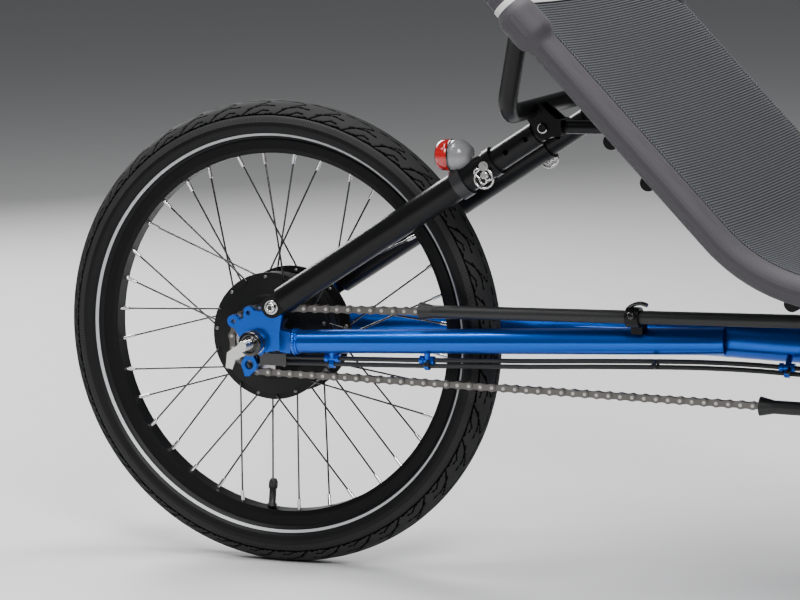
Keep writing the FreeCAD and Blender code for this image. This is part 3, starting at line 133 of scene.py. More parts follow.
def finish(nodes, links, shader, source):
    """Set up a shader with the finish of a plain material; returns the shader's output."""
    look = FINISHES[source.name]
    place = nodes.new("ShaderNodeTexCoord")
    clouds = nodes.new("ShaderNodeTexNoise")
    clouds.inputs["Scale"].default_value = 14.0
    clouds.inputs["Detail"].default_value = 6.0
    links.new(place.outputs["Object"], clouds.inputs["Vector"])
    blend = nodes.new("ShaderNodeMix")
    blend.data_type = "RGBA"
    dark = [c * (1 - look["vary"]) for c in look["colour"]]
    light = [min(1.0, c * (1 + look["vary"])) for c in look["colour"]]
    blend.inputs[6].default_value = (*dark, 1)
    blend.inputs[7].default_value = (*light, 1)
    links.new(clouds.outputs["Fac"], blend.inputs[0])
    links.new(blend.outputs[2], shader.inputs["Base Color"])
    spread = nodes.new("ShaderNodeMapRange")
    spread.inputs["To Min"].default_value = max(0.02, look["rough"] * 0.82)
    spread.inputs["To Max"].default_value = min(1.0, look["rough"] * 1.2)
    links.new(clouds.outputs["Fac"], spread.inputs["Value"])
    links.new(spread.outputs["Result"], shader.inputs["Roughness"])
    fine = nodes.new("ShaderNodeTexNoise")
    fine.inputs["Scale"].default_value = look["grain"]
    fine.inputs["Detail"].default_value = 2.0
    links.new(place.outputs["Object"], fine.inputs["Vector"])
    relief = nodes.new("ShaderNodeBump")
    relief.inputs["Strength"].default_value = look["bump"]
    relief.inputs["Distance"].default_value = 0.0004
    links.new(fine.outputs["Fac"], relief.inputs["Height"])
    links.new(relief.outputs["Normal"], shader.inputs["Normal"])
    shader.inputs["Metallic"].default_value = look["metal"]
    shader.inputs["Coat Weight"].default_value = look["coat"]
    shader.inputs["Coat Roughness"].default_value = 0.04
    shader.inputs["Sheen Weight"].default_value = look["sheen"]
    shader.inputs["Specular IOR Level"].default_value = look["shine"]
    return shader.outputs[0]


def surface(name, colour, rough, metal=0.0, coat=0.0, vary=0.12, grain=900.0, bump=0.05,
            sheen=0.0, shine=0.5):
    """Procedural finish: cloudy colour and roughness, fine grain as bump, optional clear coat."""
    material, nodes, links = new_material(name)
    FINISHES[material.name] = {"colour": colour, "rough": rough, "metal": metal, "coat": coat,
                               "vary": vary, "grain": grain, "bump": bump, "sheen": sheen,
                               "shine": shine}
    finish(nodes, links, nodes["Principled BSDF"], material)
    return material


def lens_material():
    """Red translucent lens with a pattern of small prisms."""
    material, nodes, links = new_material("red_lens")
    shader = nodes["Principled BSDF"]
    shader.inputs["Base Color"].default_value = (0.62, 0.01, 0.012, 1)
    shader.inputs["Roughness"].default_value = 0.12
    shader.inputs["Coat Weight"].default_value = 1.0
    shader.inputs["Transmission Weight"].default_value = 0.25
    place = nodes.new("ShaderNodeTexCoord")
    cells = nodes.new("ShaderNodeTexVoronoi")
    cells.inputs["Scale"].default_value = 420.0
    links.new(place.outputs["Object"], cells.inputs["Vector"])
    relief = nodes.new("ShaderNodeBump")
    relief.inputs["Strength"].default_value = 0.35
    relief.inputs["Distance"].default_value = 0.0005
    links.new(cells.outputs["Distance"], relief.inputs["Height"])
    links.new(relief.outputs["Normal"], shader.inputs["Normal"])
    return material


def woven(name, colour, thread, scale, rough=0.78, strength=0.5):
    """Cloth with crossed threads, worked out from two wave patterns."""
    material = surface(name, colour, rough, vary=0.2, grain=1400.0, bump=0.25, sheen=0.08)
    nodes, links = material.node_tree.nodes, material.node_tree.links
    shader = nodes["Principled BSDF"]
    place = nodes.new("ShaderNodeTexCoord")
    waves = []
    for direction in ("Y", "DIAGONAL"):
        wave = nodes.new("ShaderNodeTexWave")
        wave.bands_direction = direction
        wave.inputs["Scale"].default_value = scale
        wave.inputs["Distortion"].default_value = 0.3
        links.new(place.outputs["Object"], wave.inputs["Vector"])
        waves.append(wave)
    weave = nodes.new("ShaderNodeMath")
    weave.operation = "MULTIPLY"
    links.new(waves[0].outputs["Fac"], weave.inputs[0])
    links.new(waves[1].outputs["Fac"], weave.inputs[1])
    mix = nodes.new("ShaderNodeMix")
    mix.data_type = "RGBA"
    old = shader.inputs["Base Color"].links[0].from_socket
    links.new(weave.outputs[0], mix.inputs[0])
    links.new(old, mix.inputs[6])
    mix.inputs[7].default_value = (*thread, 1)
    links.new(mix.outputs[2], shader.inputs["Base Color"])
    relief = nodes.new("ShaderNodeBump")
    relief.inputs["Strength"].default_value = strength
    relief.inputs["Distance"].default_value = 0.0004
    links.new(weave.outputs[0], relief.inputs["Height"])
    links.new(shader.inputs["Normal"].links[0].from_socket, relief.inputs["Normal"])
    links.new(relief.outputs["Normal"], shader.inputs["Normal"])
    return material


FLOOR = surface("floor_paint", (0.72, 0.72, 0.72), 0.75, vary=0.01, grain=60, bump=0.02)
BLUE = surface("blue_paint", (0.0, 0.105, 0.60), 0.30, metal=0.92, coat=0.35, vary=0.08,
               grain=2600, bump=0.05)
BLUE_WELD = surface("blue_weld", (0.0, 0.12, 0.66), 0.24, metal=0.90, coat=0.6, vary=0.2,
                    grain=700, bump=0.3)
BLACK = surface("black_powder_coat", (0.0045, 0.0045, 0.005), 0.32, vary=0.2, grain=1500,
                bump=0.14, shine=0.24)
BLACK_GLOSS = surface("black_gloss", (0.008, 0.008, 0.009), 0.16, coat=0.6, vary=0.2,
                      grain=800, bump=0.04)
RIM_BLACK = surface("rim_black", (0.004, 0.004, 0.0045), 0.42, vary=0.18, grain=1100,
                    bump=0.06, shine=0.15)
HUB_BLACK = surface("hub_black", (0.008, 0.008, 0.0085), 0.46, vary=0.16, grain=2200,
                    bump=0.2, shine=0.18)
PLASTIC = surface("black_plastic", (0.014, 0.014, 0.015), 0.45, vary=0.15, grain=1700,
                  bump=0.12)
RUBBER = surface("tyre_rubber", (0.0055, 0.0055, 0.006), 0.46, vary=0.25, grain=1200, bump=0.2,
                 shine=0.2)
# Crown rubber several times lighter than the sidewall's: painted light on the matt tread.
TREAD = surface("tyre_tread_painted_light", (0.029, 0.029, 0.0295), 0.75, vary=0.25, grain=900, bump=0.2,
                shine=0.12)
# Lighter rubber for every other face of the shoulder's ribs: painted highlight on one flank of
# each rib.
RIB_FLANK_HIGHLIGHT = surface("tyre_rib_painted_highlight", (0.042, 0.042, 0.043), 0.6, vary=0.2, grain=1200, shine=0.2)
# Near-black rubber for the groove floors: painted shade in the grooves.
GROOVE_SHADE = surface("tyre_groove_painted_shade", (0.002, 0.002, 0.002), 0.8, vary=0.1, shine=0.05)
GRIP = surface("grip_rubber", (0.013, 0.013, 0.013), 0.7, vary=0.2, grain=1500, bump=0.3)
STRIPE = surface("reflective_band", (0.50, 0.51, 0.52), 0.38, metal=0.15, vary=0.08,
                 grain=3200, bump=0.3)
BRIGHT = surface("bright_nickel", (0.78, 0.77, 0.75), 0.16, metal=1.0, vary=0.06, grain=500,
                 bump=0.03)
DULL = surface("dull_zinc", (0.20, 0.20, 0.20), 0.42, metal=0.8, vary=0.2, grain=900, bump=0.1)
STEEL = surface("turned_steel", (0.52, 0.51, 0.49), 0.30, metal=1.0, vary=0.14, grain=900,
                bump=0.08)
SLEEVE = woven("seat_sleeve_cloth", (0.036, 0.032, 0.038), (0.060, 0.055, 0.063), 420, 0.62, 0.3)
MESH = woven("seat_mesh_cloth", (0.034, 0.040, 0.052), (0.075, 0.085, 0.10), 500, 0.7, 0.4)
# Near-black faces in the panel's rib valleys: painted shade.
MESH_VALLEY_SHADE = surface("seat_mesh_valley_shade", (0.004, 0.004, 0.005), 0.9, vary=0.2, grain=2500, bump=0.2)
THREAD = surface("stitching", (0.075, 0.072, 0.08), 0.8, vary=0.3, grain=2500, bump=0.4)
BAND = surface("silver_band", (0.62, 0.62, 0.60), 0.42, vary=0.06, grain=2500, bump=0.3,
               sheen=0.2)
CHAIN = surface("chain_steel", (0.15, 0.142, 0.132), 0.30, metal=0.95, vary=0.25, grain=1500,
                bump=0.1)
LAMP_BODY = surface("lamp_body", (0.02, 0.02, 0.022), 0.35, vary=0.15, grain=900, bump=0.08)
LAMP_DOME = surface("lamp_dome", (0.24, 0.24, 0.25), 0.18, coat=0.8, vary=0.1, grain=300,
                    bump=0.1)
LENS = lens_material()




# --- mesh helpers ---------------------------------------------------------------------------

def mesh_object(name, points, faces):
    mesh = bpy.data.meshes.new(name)
    mesh.from_pydata([tuple(p) for p in points], [], faces)
    mesh.update()
    mesh.polygons.foreach_set("use_smooth", [True] * len(mesh.polygons))
    obj = bpy.data.objects.new(name, mesh)
    bpy.context.scene.collection.objects.link(obj)
    return obj


def grid_faces(n_rows, n_columns, close_rows=False, close_columns=False):
    """Quads of a grid of points stored row by row."""
    faces = []
    for i in range(n_rows if close_rows else n_rows - 1):
        j_next = (i + 1) % n_rows
        for k in range(n_columns if close_columns else n_columns - 1):
            k_next = (k + 1) % n_columns
            faces.append((i * n_columns + k, i * n_columns + k_next,
                          j_next * n_columns + k_next, j_next * n_columns + k))
    return faces


def grid_object(name, rows, close_rows=False, close_columns=False):
    points = [p for row in rows for p in row]
    return mesh_object(name, points, grid_faces(len(rows), len(rows[0]), close_rows,
                                                close_columns))


def side_axes(along):
    """Two directions square to along and to each other."""
    along = along.normalized()
    start = Vector((0, 1, 0)) if abs(along.y) < 0.9 else Vector((1, 0, 0))
    first = along.cross(start).normalized()
    return first, along.cross(first)


def add_grid(bm, rows, close_rows=False, close_columns=False, slot=0):
    verts = [bm.verts.new(p) for row in rows for p in row]
    for corners in grid_faces(len(rows), len(rows[0]), close_rows, close_columns):
        face = bm.faces.new([verts[k] for k in corners])
        face.material_index = slot
        face.smooth = True
    return verts


def add_turned(bm, base, along, profile, sides=24, slot=0):
    """Surface of revolution about a line: profile is (distance along, radius) pairs."""
    along = along.normalized()
    u, v = side_axes(along)
    rows = []
    for s, r in profile:
        rows.append([base + along * s + (u * math.cos(a) + v * math.sin(a)) * r
                     for a in (2 * math.pi * k / sides for k in range(sides))])
    verts = add_grid(bm, rows, close_columns=True, slot=slot)
    for ring_of, flip in ((verts[:sides], True), (verts[-sides:], False)):
        face = bm.faces.new(ring_of[::-1] if flip else ring_of)
        face.material_index = slot


def smooth_path(points, per_run=6):
    """Points of a smooth curve through the given ones."""
    ends = [points[0] * 2 - points[1]] + list(points) + [points[-1] * 2 - points[-2]]
    path = []
    for a, b, c, d in zip(ends, ends[1:], ends[2:], ends[3:]):
        for k in range(per_run):
            t = k / per_run
            path.append(((b * 2) + (c - a) * t + (a * 2 - b * 5 + c * 4 - d) * t * t
                         + (b * 3 - a - c * 3 + d) * t ** 3) / 2)
    path.append(points[-1])
    return path


def add_tube(bm, path, radius, sides):
    """Round bar along a path, carried round without twist."""
    count = len(path)
    ways = []
    for k in range(count):
        ways.append((path[min(k + 1, count - 1)] - path[max(k - 1, 0)]).normalized())
    u = side_axes(ways[0])[0]
    rows = []
    for point, way in zip(path, ways):
        u = (u - way * u.dot(way)).normalized()
        v = way.cross(u)
        rows.append([point + (u * math.cos(a) + v * math.sin(a)) * radius
                     for a in (2 * math.pi * j / sides for j in range(sides))])
    verts = add_grid(bm, rows, close_columns=True)
    bm.faces.new(verts[:sides][::-1])
    bm.faces.new(verts[-sides:])


def add_block(bm, centre, size, turn=None, bevel=0.0006, slot=0):
    """Block with rounded edges."""
    matrix = Matrix.Translation(centre)
    if turn is not None:
        matrix = matrix @ turn
    made = bmesh.ops.create_cube(bm, size=1.0, matrix=matrix @ Matrix.Diagonal((*size, 1)))
    faces = set(f for v in made["verts"] for f in v.link_faces)
    for face in faces:
        face.material_index = slot
    edges = list(set(e for v in made["verts"] for e in v.link_edges))
    bmesh.ops.bevel(bm, geom=edges, offset=bevel, segments=2, affect="EDGES",
                    profile=0.6, material=-1)


def piece(name, bm, materials, body):
    """Turn a bmesh into a named piece that rides on a body."""
    bmesh.ops.recalc_face_normals(bm, faces=bm.faces)
    mesh = bpy.data.meshes.new(name)
    bm.to_mesh(mesh)
    bm.free()
    obj = bpy.data.objects.new(name, mesh)
    bpy.context.scene.collection.objects.link(obj)
    return dress(obj, materials, body)


def dress(obj, materials, body):
    """Give a piece its materials and its body."""
    for material in materials:
        obj.data.materials.append(material)
    if body:
        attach(obj, body)
    return obj


# --- tyres ----------------------------------------------------------------------------------

TREAD_PITCHES = 38                     # the tread pattern repeats this often round the tyre
TREAD_EDGE = math.radians(67)          # half angle of the treaded crown
RIB_EDGE = math.radians(86)            # the ribbed shoulder ends here
STRIPE_START = math.radians(118.5)
STRIPE_END = math.radians(128)
GROOVE_DEPTH = 1.8 * MM
GROOVE_HALF = 0.65 * MM
GROOVE_WALL = 0.6 * MM
LINING = 2.6                           # mm from the skin to the tyre's lining
# Grooves of one pitch on one side: (share of the pitch, distance from the crown in mm)
GROOVES = [[(0.0, 4.2), (0.74, 5.4), (0.86, 8.5)],
           [(0.88, 9.0), (0.66, 12.5), (0.36, 20.0), (0.14, 26.0)],
           [(0.28, 19.5), (0.72, 14.5), (1.06, 15.5)],
           [(0.50, 27.0), (0.74, 21.5), (0.92, 22.5)],
           [(0.14, 27.5), (0.52, 25.5), (0.64, 27.8)],
           [(0.64, 27.5), (1.02, 25.5), (1.14, 27.8)]]


def groove_depth(share, across):
    """Depth of the tread grooves at a place given by arrays of pitch share and distance."""
    pitch = 2 * math.pi * (TYRE_MAJOR + TYRE_MINOR) / TREAD_PITCHES
    nearest = np.full(share.shape, 1.0)
    for line in GROOVES:
        for (s1, t1), (s2, t2) in zip(line, line[1:]):
            for wrap in (-1, 0, 1):
                ax, ay = (s1 + wrap) * pitch, t1 * MM
                bx, by = (s2 + wrap) * pitch, t2 * MM
                dx, dy = bx - ax, by - ay
                px, py = share * pitch - ax, across - ay
                t = np.clip((px * dx + py * dy) / (dx * dx + dy * dy), 0, 1)
                nearest = np.minimum(nearest, np.hypot(px - t * dx, py - t * dy))
    edge = np.clip((GROOVE_HALF + GROOVE_WALL / 2 - nearest) / GROOVE_WALL, 0, 1)
    return GROOVE_DEPTH * edge


def tyre_angles(tread_rows):
    """Places across a tyre's skin, closer together where the tread needs them."""
    side = np.radians([68.8, 73, 77, 81, 85.5, 87, 91, 95, 96, 97, 103, 108.2, 109, 109.8,
                       113, 118.4, 118.6, 123.2, 127.9, 128.1, 130])
    crown = np.linspace(-TREAD_EDGE, TREAD_EDGE, tread_rows)
    return np.concatenate([-side[::-1], crown, side])


def pinch(size):
    """How far a tyre's side draws in towards its bead."""
    return 2.2 * MM * np.clip((size - math.radians(98)) / math.radians(28), 0, 1)


def tyre_points(columns_per_pitch, tread_rows):
    """Outer skin of a tyre about the Y axis, with each point's section angle and groove depth."""
    columns = TREAD_PITCHES * columns_per_pitch
    angles = tyre_angles(tread_rows)
    turn = np.arange(columns) * 2 * math.pi / columns
    phi, theta = np.meshgrid(angles, turn, indexing="ij")
    size = np.abs(phi)
    share = np.mod(-theta / (2 * math.pi) * TREAD_PITCHES + np.where(phi < 0, 0.5, 0.0), 1.0)
    radius = np.full(phi.shape, TYRE_MINOR)
    depth = np.where(size < TREAD_EDGE, groove_depth(share, size * TYRE_MINOR), 0.0)
    step = np.abs(size - TREAD_EDGE) * TYRE_MINOR
    depth += np.where(step < 0.7 * MM, 0.9 * MM, 0.0)
    column = np.broadcast_to(np.arange(columns), phi.shape)
    rib = (size > TREAD_EDGE + 0.03) & (size < RIB_EDGE)
    radius -= depth + pinch(size) + np.where(rib & (column % 2 == 0), 0.7 * MM, 0.0)
    for place in (96.0, 109.0):
        near = np.abs(size - math.radians(place)) * TYRE_MINOR
        radius += np.where(near < 0.9 * MM, 0.35 * MM, 0.0)
    out = TYRE_MAJOR + radius * np.cos(phi)
    points = np.stack([out * np.cos(theta), radius * np.sin(phi), out * np.sin(theta)], -1)
    return points, size[:, 0], depth


def tyre_slots(size, depth):
    """Which material each face of a tyre's outer skin has: lighter rubber on the crown and on
    every other rib face as painted light, near-black groove floors as painted shade.
    """
    rows = (size[:-1] + size[1:])[:, None] / 2
    deep = (depth[:-1] + depth[1:] + np.roll(depth, -1, 1)[:-1] + np.roll(depth, -1, 1)[1:]) / 4
    even = np.arange(depth.shape[1])[None, :] % 2 == 0
    # crown faces get the lighter tread rubber: painted light
    slots = np.where(rows < TREAD_EDGE, 1, 0) + np.zeros(deep.shape, int)
    # every other rib face gets the lighter rib rubber: painted highlight on one flank of each rib
    slots[(rows > TREAD_EDGE) & (rows < RIB_EDGE) & even] = 2
    # deep groove faces get near-black rubber: painted shade
    slots[deep > 0.4 * GROOVE_DEPTH] = 3
    slots[((rows > STRIPE_START) & (rows < STRIPE_END))[:, 0]] = 4
    return slots


def tyre(name, node, body, columns_per_pitch, tread_rows):
    """Detailed tyre: treaded skin, reflective stripes, beads in the rim and a smooth lining."""
    points, size, depth = tyre_points(columns_per_pitch, tread_rows)
    columns = points.shape[1]
    seat_r, seat_y = 205.5 * MM, 10.3 * MM
    feet = []
    for r, y in ((209.6 * MM, seat_y), (seat_r, seat_y), (seat_r, seat_y - 3 * MM)):
        feet.append([(r * math.cos(a), y, r * math.sin(a))
                     for a in (2 * math.pi * k / columns for k in range(columns))])
    feet = np.array(feet)
    low = feet.copy()[::-1]
    low[..., 1] *= -1
    lining = []
    for phi in np.radians((118, 80, 40, 0, -40, -80, -118)):
        r = TYRE_MINOR - LINING * MM - pinch(abs(phi))
        out = TYRE_MAJOR + r * math.cos(phi)
        lining.append([(out * math.cos(a), r * math.sin(phi), out * math.sin(a))
                       for a in (2 * math.pi * k / columns for k in range(columns))])
    points = np.concatenate([low, points, feet, np.array(lining)])
    centre = centre_of(node)
    points = points.reshape(-1, 3) + np.array(centre)
    count = len(size) + 6 + len(lining)
    obj = mesh_object(name, points, grid_faces(count, columns, True, True))
    slots = np.zeros((count, columns), int)
    slots[3:2 + len(size)] = tyre_slots(size, depth)
    for material in (RUBBER, TREAD, RIB_FLANK_HIGHLIGHT, GROOVE_SHADE, STRIPE):
        obj.data.materials.append(material)
    obj.data.polygons.foreach_set("material_index", slots.ravel())
    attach(obj, body)
    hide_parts(node)


def valve(name, body, centre, degrees):
    """Black tyre valve with its nut and ribbed cap, pointing at the hub."""
    a = math.radians(degrees)
    inward = Vector((-math.cos(a), 0, -math.sin(a)))
    base = centre - inward * (RIM_INNER + 1 * MM)
    bm = bmesh.new()
    add_turned(bm, base, inward, [(0, 3.9 * MM), (2 * MM, 3.9 * MM), (2.2 * MM, 5.4 * MM),
                                  (5 * MM, 5.4 * MM), (5.2 * MM, 3.9 * MM),
                                  (22 * MM, 3.9 * MM), (22.2 * MM, 4.6 * MM),
                                  (31 * MM, 4.4 * MM), (33 * MM, 3.2 * MM)], 20)
    u, v = side_axes(inward)
    for k in range(12):
        b = 2 * math.pi * k / 12
        side = (u * math.cos(b) + v * math.sin(b)) * 4.5 * MM
        add_tube(bm, [base + inward * 23 * MM + side, base + inward * 30 * MM + side],
                 0.45 * MM, 6)
    piece(name, bm, [PLASTIC], body)


def spoke_layout(hub_r, flange_y, outside, inside, per_side, cross):
    """Hub end and rim end of each spoke's axis, as (hub point, rim point, side, is outer)."""
    ends = []
    step = 2 * math.pi / per_side
    rim_r = RIM_INNER + 0.6 * MM
    for side in (-1, 1):
        for k in range(per_side):
            outer = k % 2 == 0
            y = side * (flange_y + outside if outer else flange_y - inside)
            a = step * (k + side * 0.25)
            b = a + step * cross * (1 if outer else -1)
            hub_end = Vector((hub_r * math.cos(a), y, hub_r * math.sin(a)))
            rim_end = Vector((rim_r * math.cos(b), side * 3 * MM, rim_r * math.sin(b)))
            ends.append((hub_end, rim_end, side, outer))
    return ends


def spoke_trim(name, body, centre, layout, flange_y, r):
    """The bent heads of the spokes: elbow through the flange and button head behind it."""
    bm = bmesh.new()
    for hub_end, rim_end, side, outer in layout:
        way = (rim_end - hub_end).normalized()
        through = Vector((0, -side if outer else side, 0))
        foot = Vector((hub_end.x, side * flange_y, hub_end.z))
        head = foot + through * 3.2 * MM
        start = centre + hub_end + way * 3.0 * MM
        bend = smooth_path([start, centre + hub_end + way * 0.7 * MM,
                            centre + hub_end + through * 0.9 * MM, centre + foot,
                            centre + head - through * 1.2 * MM], 4)
        add_tube(bm, bend, r, 8)
        add_turned(bm, centre + foot + through * 1.9 * MM, through,
                   [(0, 1.5 * MM), (0.5 * MM, 2.1 * MM), (1.0 * MM, 1.9 * MM),
                    (1.4 * MM, 1.0 * MM), (1.5 * MM, 0.2 * MM)], 10, slot=1)
    piece(name, bm, [BLACK_GLOSS, DULL], body)


def nipple(bm, rim_end, hub_end, slot):
    """Shaped spoke nipple: square flats, round barrel and head in the rim."""
    way = (hub_end - rim_end).normalized()
    add_turned(bm, rim_end, way, [(0, 2.2 * MM), (1.0 * MM, 2.5 * MM), (2.0 * MM, 2.0 * MM),
                                  (12.2 * MM, 1.95 * MM), (12.9 * MM, 1.6 * MM),
                                  (13.0 * MM, 1.1 * MM)], 8, slot)


def rear_wheel_details():
    """Spoke heads and nipples of the rear wheel."""
    layout = spoke_layout(64 * MM, 27 * MM, 3.6 * MM, 2.6 * MM, 18, 1)
    spoke_trim("rear_spoke_heads", "rear_wheel", AXLE, layout, 27 * MM, 1.0 * MM)
    bm = bmesh.new()
    for hub_end, rim_end, _, _ in layout:
        nipple(bm, AXLE + rim_end, AXLE + hub_end, 0)
    nipples = piece("rear_nipple_set", bm, [BRIGHT], "rear_wheel")
    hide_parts("rear_nipples")


def front_wheel_details(side):
    body = "wheel_" + side[0]
    centre = centre_of("tyre_front_" + side)
    layout = spoke_layout(25.5 * MM, 21.5 * MM, 2.9 * MM, 2.4 * MM, 14, 2)
    spoke_trim("front_spoke_heads_" + side, body, centre, layout, 21.5 * MM, 0.95 * MM)
    valve("valve_front_" + side, body, centre, 270 - 90 / 7)




# --- hub end, stays and frame trim ----------------------------------------------------------

def socket_head(bm, base, out, head_r, height, hex_r):
    """Button head with a hexagon socket, standing on base; the socket's floor is slot 1."""
    profile = [(0, head_r), (height * 0.35, head_r), (height * 0.8, head_r * 0.82),
               (height, head_r * 0.6), (height, hex_r)]
    out = out.normalized()
    u, v = side_axes(out)
    rows = []
    sides = 24
    for s, r in profile + [(height * 0.3, hex_r)]:
        ring_points = []
        for k in range(sides):
            a = 2 * math.pi * k / sides
            wedge = a % (math.pi / 3) - math.pi / 6
            reach = r if r != hex_r else hex_r * math.cos(math.pi / 6) / math.cos(wedge)
            ring_points.append(base + out * s + (u * math.cos(a) + v * math.sin(a)) * reach)
        rows.append(ring_points)
    verts = add_grid(bm, rows, close_columns=True)
    bm.faces.new(verts[:sides][::-1])
    bm.faces.new(verts[-sides:]).material_index = 1


def rear_end_details():
    """Stay bolts with their washers, axle nut faces and the bright thread on the axle's end."""
    foot = AXLE + Vector((25, 0, 40)) * MM
    bm = bmesh.new()
    for sign in (-1, 1):
        base = Vector((foot.x, sign * 82.2 * MM, foot.z))
        socket_head(bm, base, Vector((0, sign, 0)), 6.2 * MM, 4.4 * MM, 2.9 * MM)
        add_turned(bm, Vector((foot.x, sign * 81.9 * MM, foot.z)), Vector((0, sign, 0)),
                   [(0, 7.6 * MM), (0.9 * MM, 7.6 * MM), (1.1 * MM, 7.2 * MM)], 28)
    # The sockets' floors take the black gloss: painted shade in the hex recesses.
    piece("stay_bolt_heads", bm, [BRIGHT, BLACK_GLOSS], "frame")
    bm = bmesh.new()
    for sign in (-1, 1):
        face = Vector((AXLE.x, sign * 84.6 * MM, AXLE.z))
        out = Vector((0, sign, 0))
        add_turned(bm, face - out * 3 * MM, out,
                   [(0, 13.2 * MM), (2.2 * MM, 13.2 * MM), (3.4 * MM, 12.0 * MM),
                    (3.6 * MM, 7.5 * MM), (0.6 * MM, 6.6 * MM), (0.6 * MM, 5.5 * MM)], 32)
    piece("axle_nut_rims", bm, [BLACK_GLOSS], "frame")
    bm = bmesh.new()
    end = Vector((AXLE.x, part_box("rear_axle")[0].y, AXLE.z))
    for k in range(14):
        base = end + Vector((0, (1.2 + 1.15 * k) * MM, 0))
        add_turned(bm, base, Vector((0, 1, 0)), [(0, 5.2 * MM), (0.35 * MM, 5.62 * MM),
                                                 (0.7 * MM, 5.2 * MM)], 24)
    piece("axle_thread", bm, [BRIGHT], "frame")


def weld_bead(bm, centre, axis, radius, bead, count):
    """Ring of overlapping weld ripples."""
    axis = axis.normalized()
    u, v = side_axes(axis)
    rows = []
    sides = 10
    steps = count * 6
    for i in range(steps):
        a = 2 * math.pi * i / steps
        out = u * math.cos(a) + v * math.sin(a)
        ripple = 1 + 0.16 * abs(math.sin(math.pi * (i % 6) / 6)) - 0.08
        spot = centre + out * radius
        rows.append([spot + (out * math.cos(b) + axis * math.sin(b)) * bead * ripple
                     for b in (2 * math.pi * j / sides for j in range(sides))])
    add_grid(bm, rows, close_rows=True, close_columns=True)


def frame_welds():
    """Weld ripples where the chain stays meet the dropouts' bosses."""
    bm = bmesh.new()
    for sign in (-1, 1):
        back = AXLE + Vector((46.2 * MM, sign * 69 * MM, 3.0 * MM))
        along = Vector((455.5, -sign * 53, 15.2)).normalized()
        weld_bead(bm, back, along, 12.3 * MM, 2.1 * MM, 30)
        weld_bead(bm, back + along * 3.2 * MM, along, 12.5 * MM, 1.3 * MM, 36)
    piece("frame_weld_ripples", bm, [BLUE_WELD], "frame")


def zip_tie(bm, centre, along, half_wide, half_high):
    """Flat strap round the cables with its square head and cut tail."""
    along = along.normalized()
    u, v = side_axes(along)
    path = []
    for k in range(20):
        a = 2 * math.pi * k / 20
        path.append(centre + u * math.cos(a) * half_wide + v * math.sin(a) * half_high)
    rows = []
    for k, p in enumerate(path):
        out = (p - centre).normalized()
        rows.append([p - along * 1.4 * MM, p - along * 1.4 * MM + out * 0.9 * MM,
                     p + along * 1.4 * MM + out * 0.9 * MM, p + along * 1.4 * MM])
    add_grid(bm, rows, close_rows=True, close_columns=True)
    head = centre + v * (half_high + 1.6 * MM)
    turn = Matrix((along, u, v)).transposed().to_4x4()
    add_block(bm, head, (4.6 * MM, 4.6 * MM, 3.4 * MM), turn, 0.5 * MM)
    add_block(bm, head + v * 4 * MM, (2.8 * MM, 1.0 * MM, 7 * MM), turn, 0.2 * MM)


def cable_ties():
    """Ties that hold the shift cables to their guides."""
    bm = bmesh.new()
    for x, y, z in ((190, -49.8, -15.6), (571, -25.5, -6.3), (430, -26.6, -8.0),
                    (760, -25.5, -11.2)):
        zip_tie(bm, AXLE + Vector((x, y, z)) * MM, Vector((1, 0.02, 0)), 3.6 * MM, 6.6 * MM)
    piece("cable_ties", bm, [PLASTIC], "frame")


def tube_clamp_lever():
    """Small lever and bolt on the collar that hangs the upper chain tube."""
    low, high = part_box("chain_tube_upper")
    share = (AXLE.x + 0.415 - low.x) / (high.x - low.x)
    centre = Vector((AXLE.x + 0.415, (low.y + high.y) / 2,
                     low.z + 9.8 * MM + share * (high.z - low.z - 19.6 * MM)))
    bm = bmesh.new()
    add_tube(bm, smooth_path([centre + Vector((-4, -2, 10)) * MM,
                              centre + Vector((2, -5, 14)) * MM,
                              centre + Vector((10, -7, 15.5)) * MM,
                              centre + Vector((17, -8, 14)) * MM], 5), 2.2 * MM, 10)
    socket_head(bm, centre + Vector((0, -9.8, 3)) * MM, Vector((0, -1, 0.3)), 4.2 * MM,
                3.2 * MM, 2.0 * MM)
    piece("tube_clamp_lever", bm, [BLACK_GLOSS, PLASTIC], "frame")


def stay_details():
    """Wire bails of the lock pins and the clips on the stays' upper pivots."""
    along = Vector((308, 0, 198)).normalized()
    across = Vector((-along.z, 0, along.x))
    # Half of a bail, along the stay and across it, in mm from the pin
    bend = [(0, -1), (0, -5), (-4, -7.5), (-7, -5), (-6.5, 1), (-8, 7), (-5, 10), (-1.5, 8)]
    for side, sign in (("left", 1), ("right", -1)):
        low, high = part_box("lock_pin_" + side)
        pin = Vector(((low.x + high.x) / 2, sign * 94.5 * MM, (low.z + high.z) / 2))
        path = [pin + (along * a + across * b) * MM for a, b in bend]
        path += [pin + (along * -a + across * b) * MM for a, b in bend[:0:-1]]
        bm = bmesh.new()
        add_tube(bm, smooth_path(path + [path[0]], 4), 1.1 * MM, 8)
        add_turned(bm, pin - Vector((0, sign * 2.5 * MM, 0)), Vector((0, sign, 0)),
                   [(0, 4.2 * MM), (3.2 * MM, 4.2 * MM), (4.2 * MM, 3.2 * MM)], 20)
        piece("lock_pin_bail_" + side, bm, [BRIGHT], "pin_" + side[0])
    bm = bmesh.new()
    for sign in (-1, 1):
        centre = AXLE + Vector((333, sign * 93.4, 238)) * MM
        path = [centre + Vector((math.cos(a), 0, math.sin(a))) * 4.6 * MM
                for a in (math.radians(100 + 14 * k) for k in range(19))]
        add_tube(bm, path, 1.0 * MM, 8)
    piece("pivot_clips", bm, [BRIGHT], "seat")


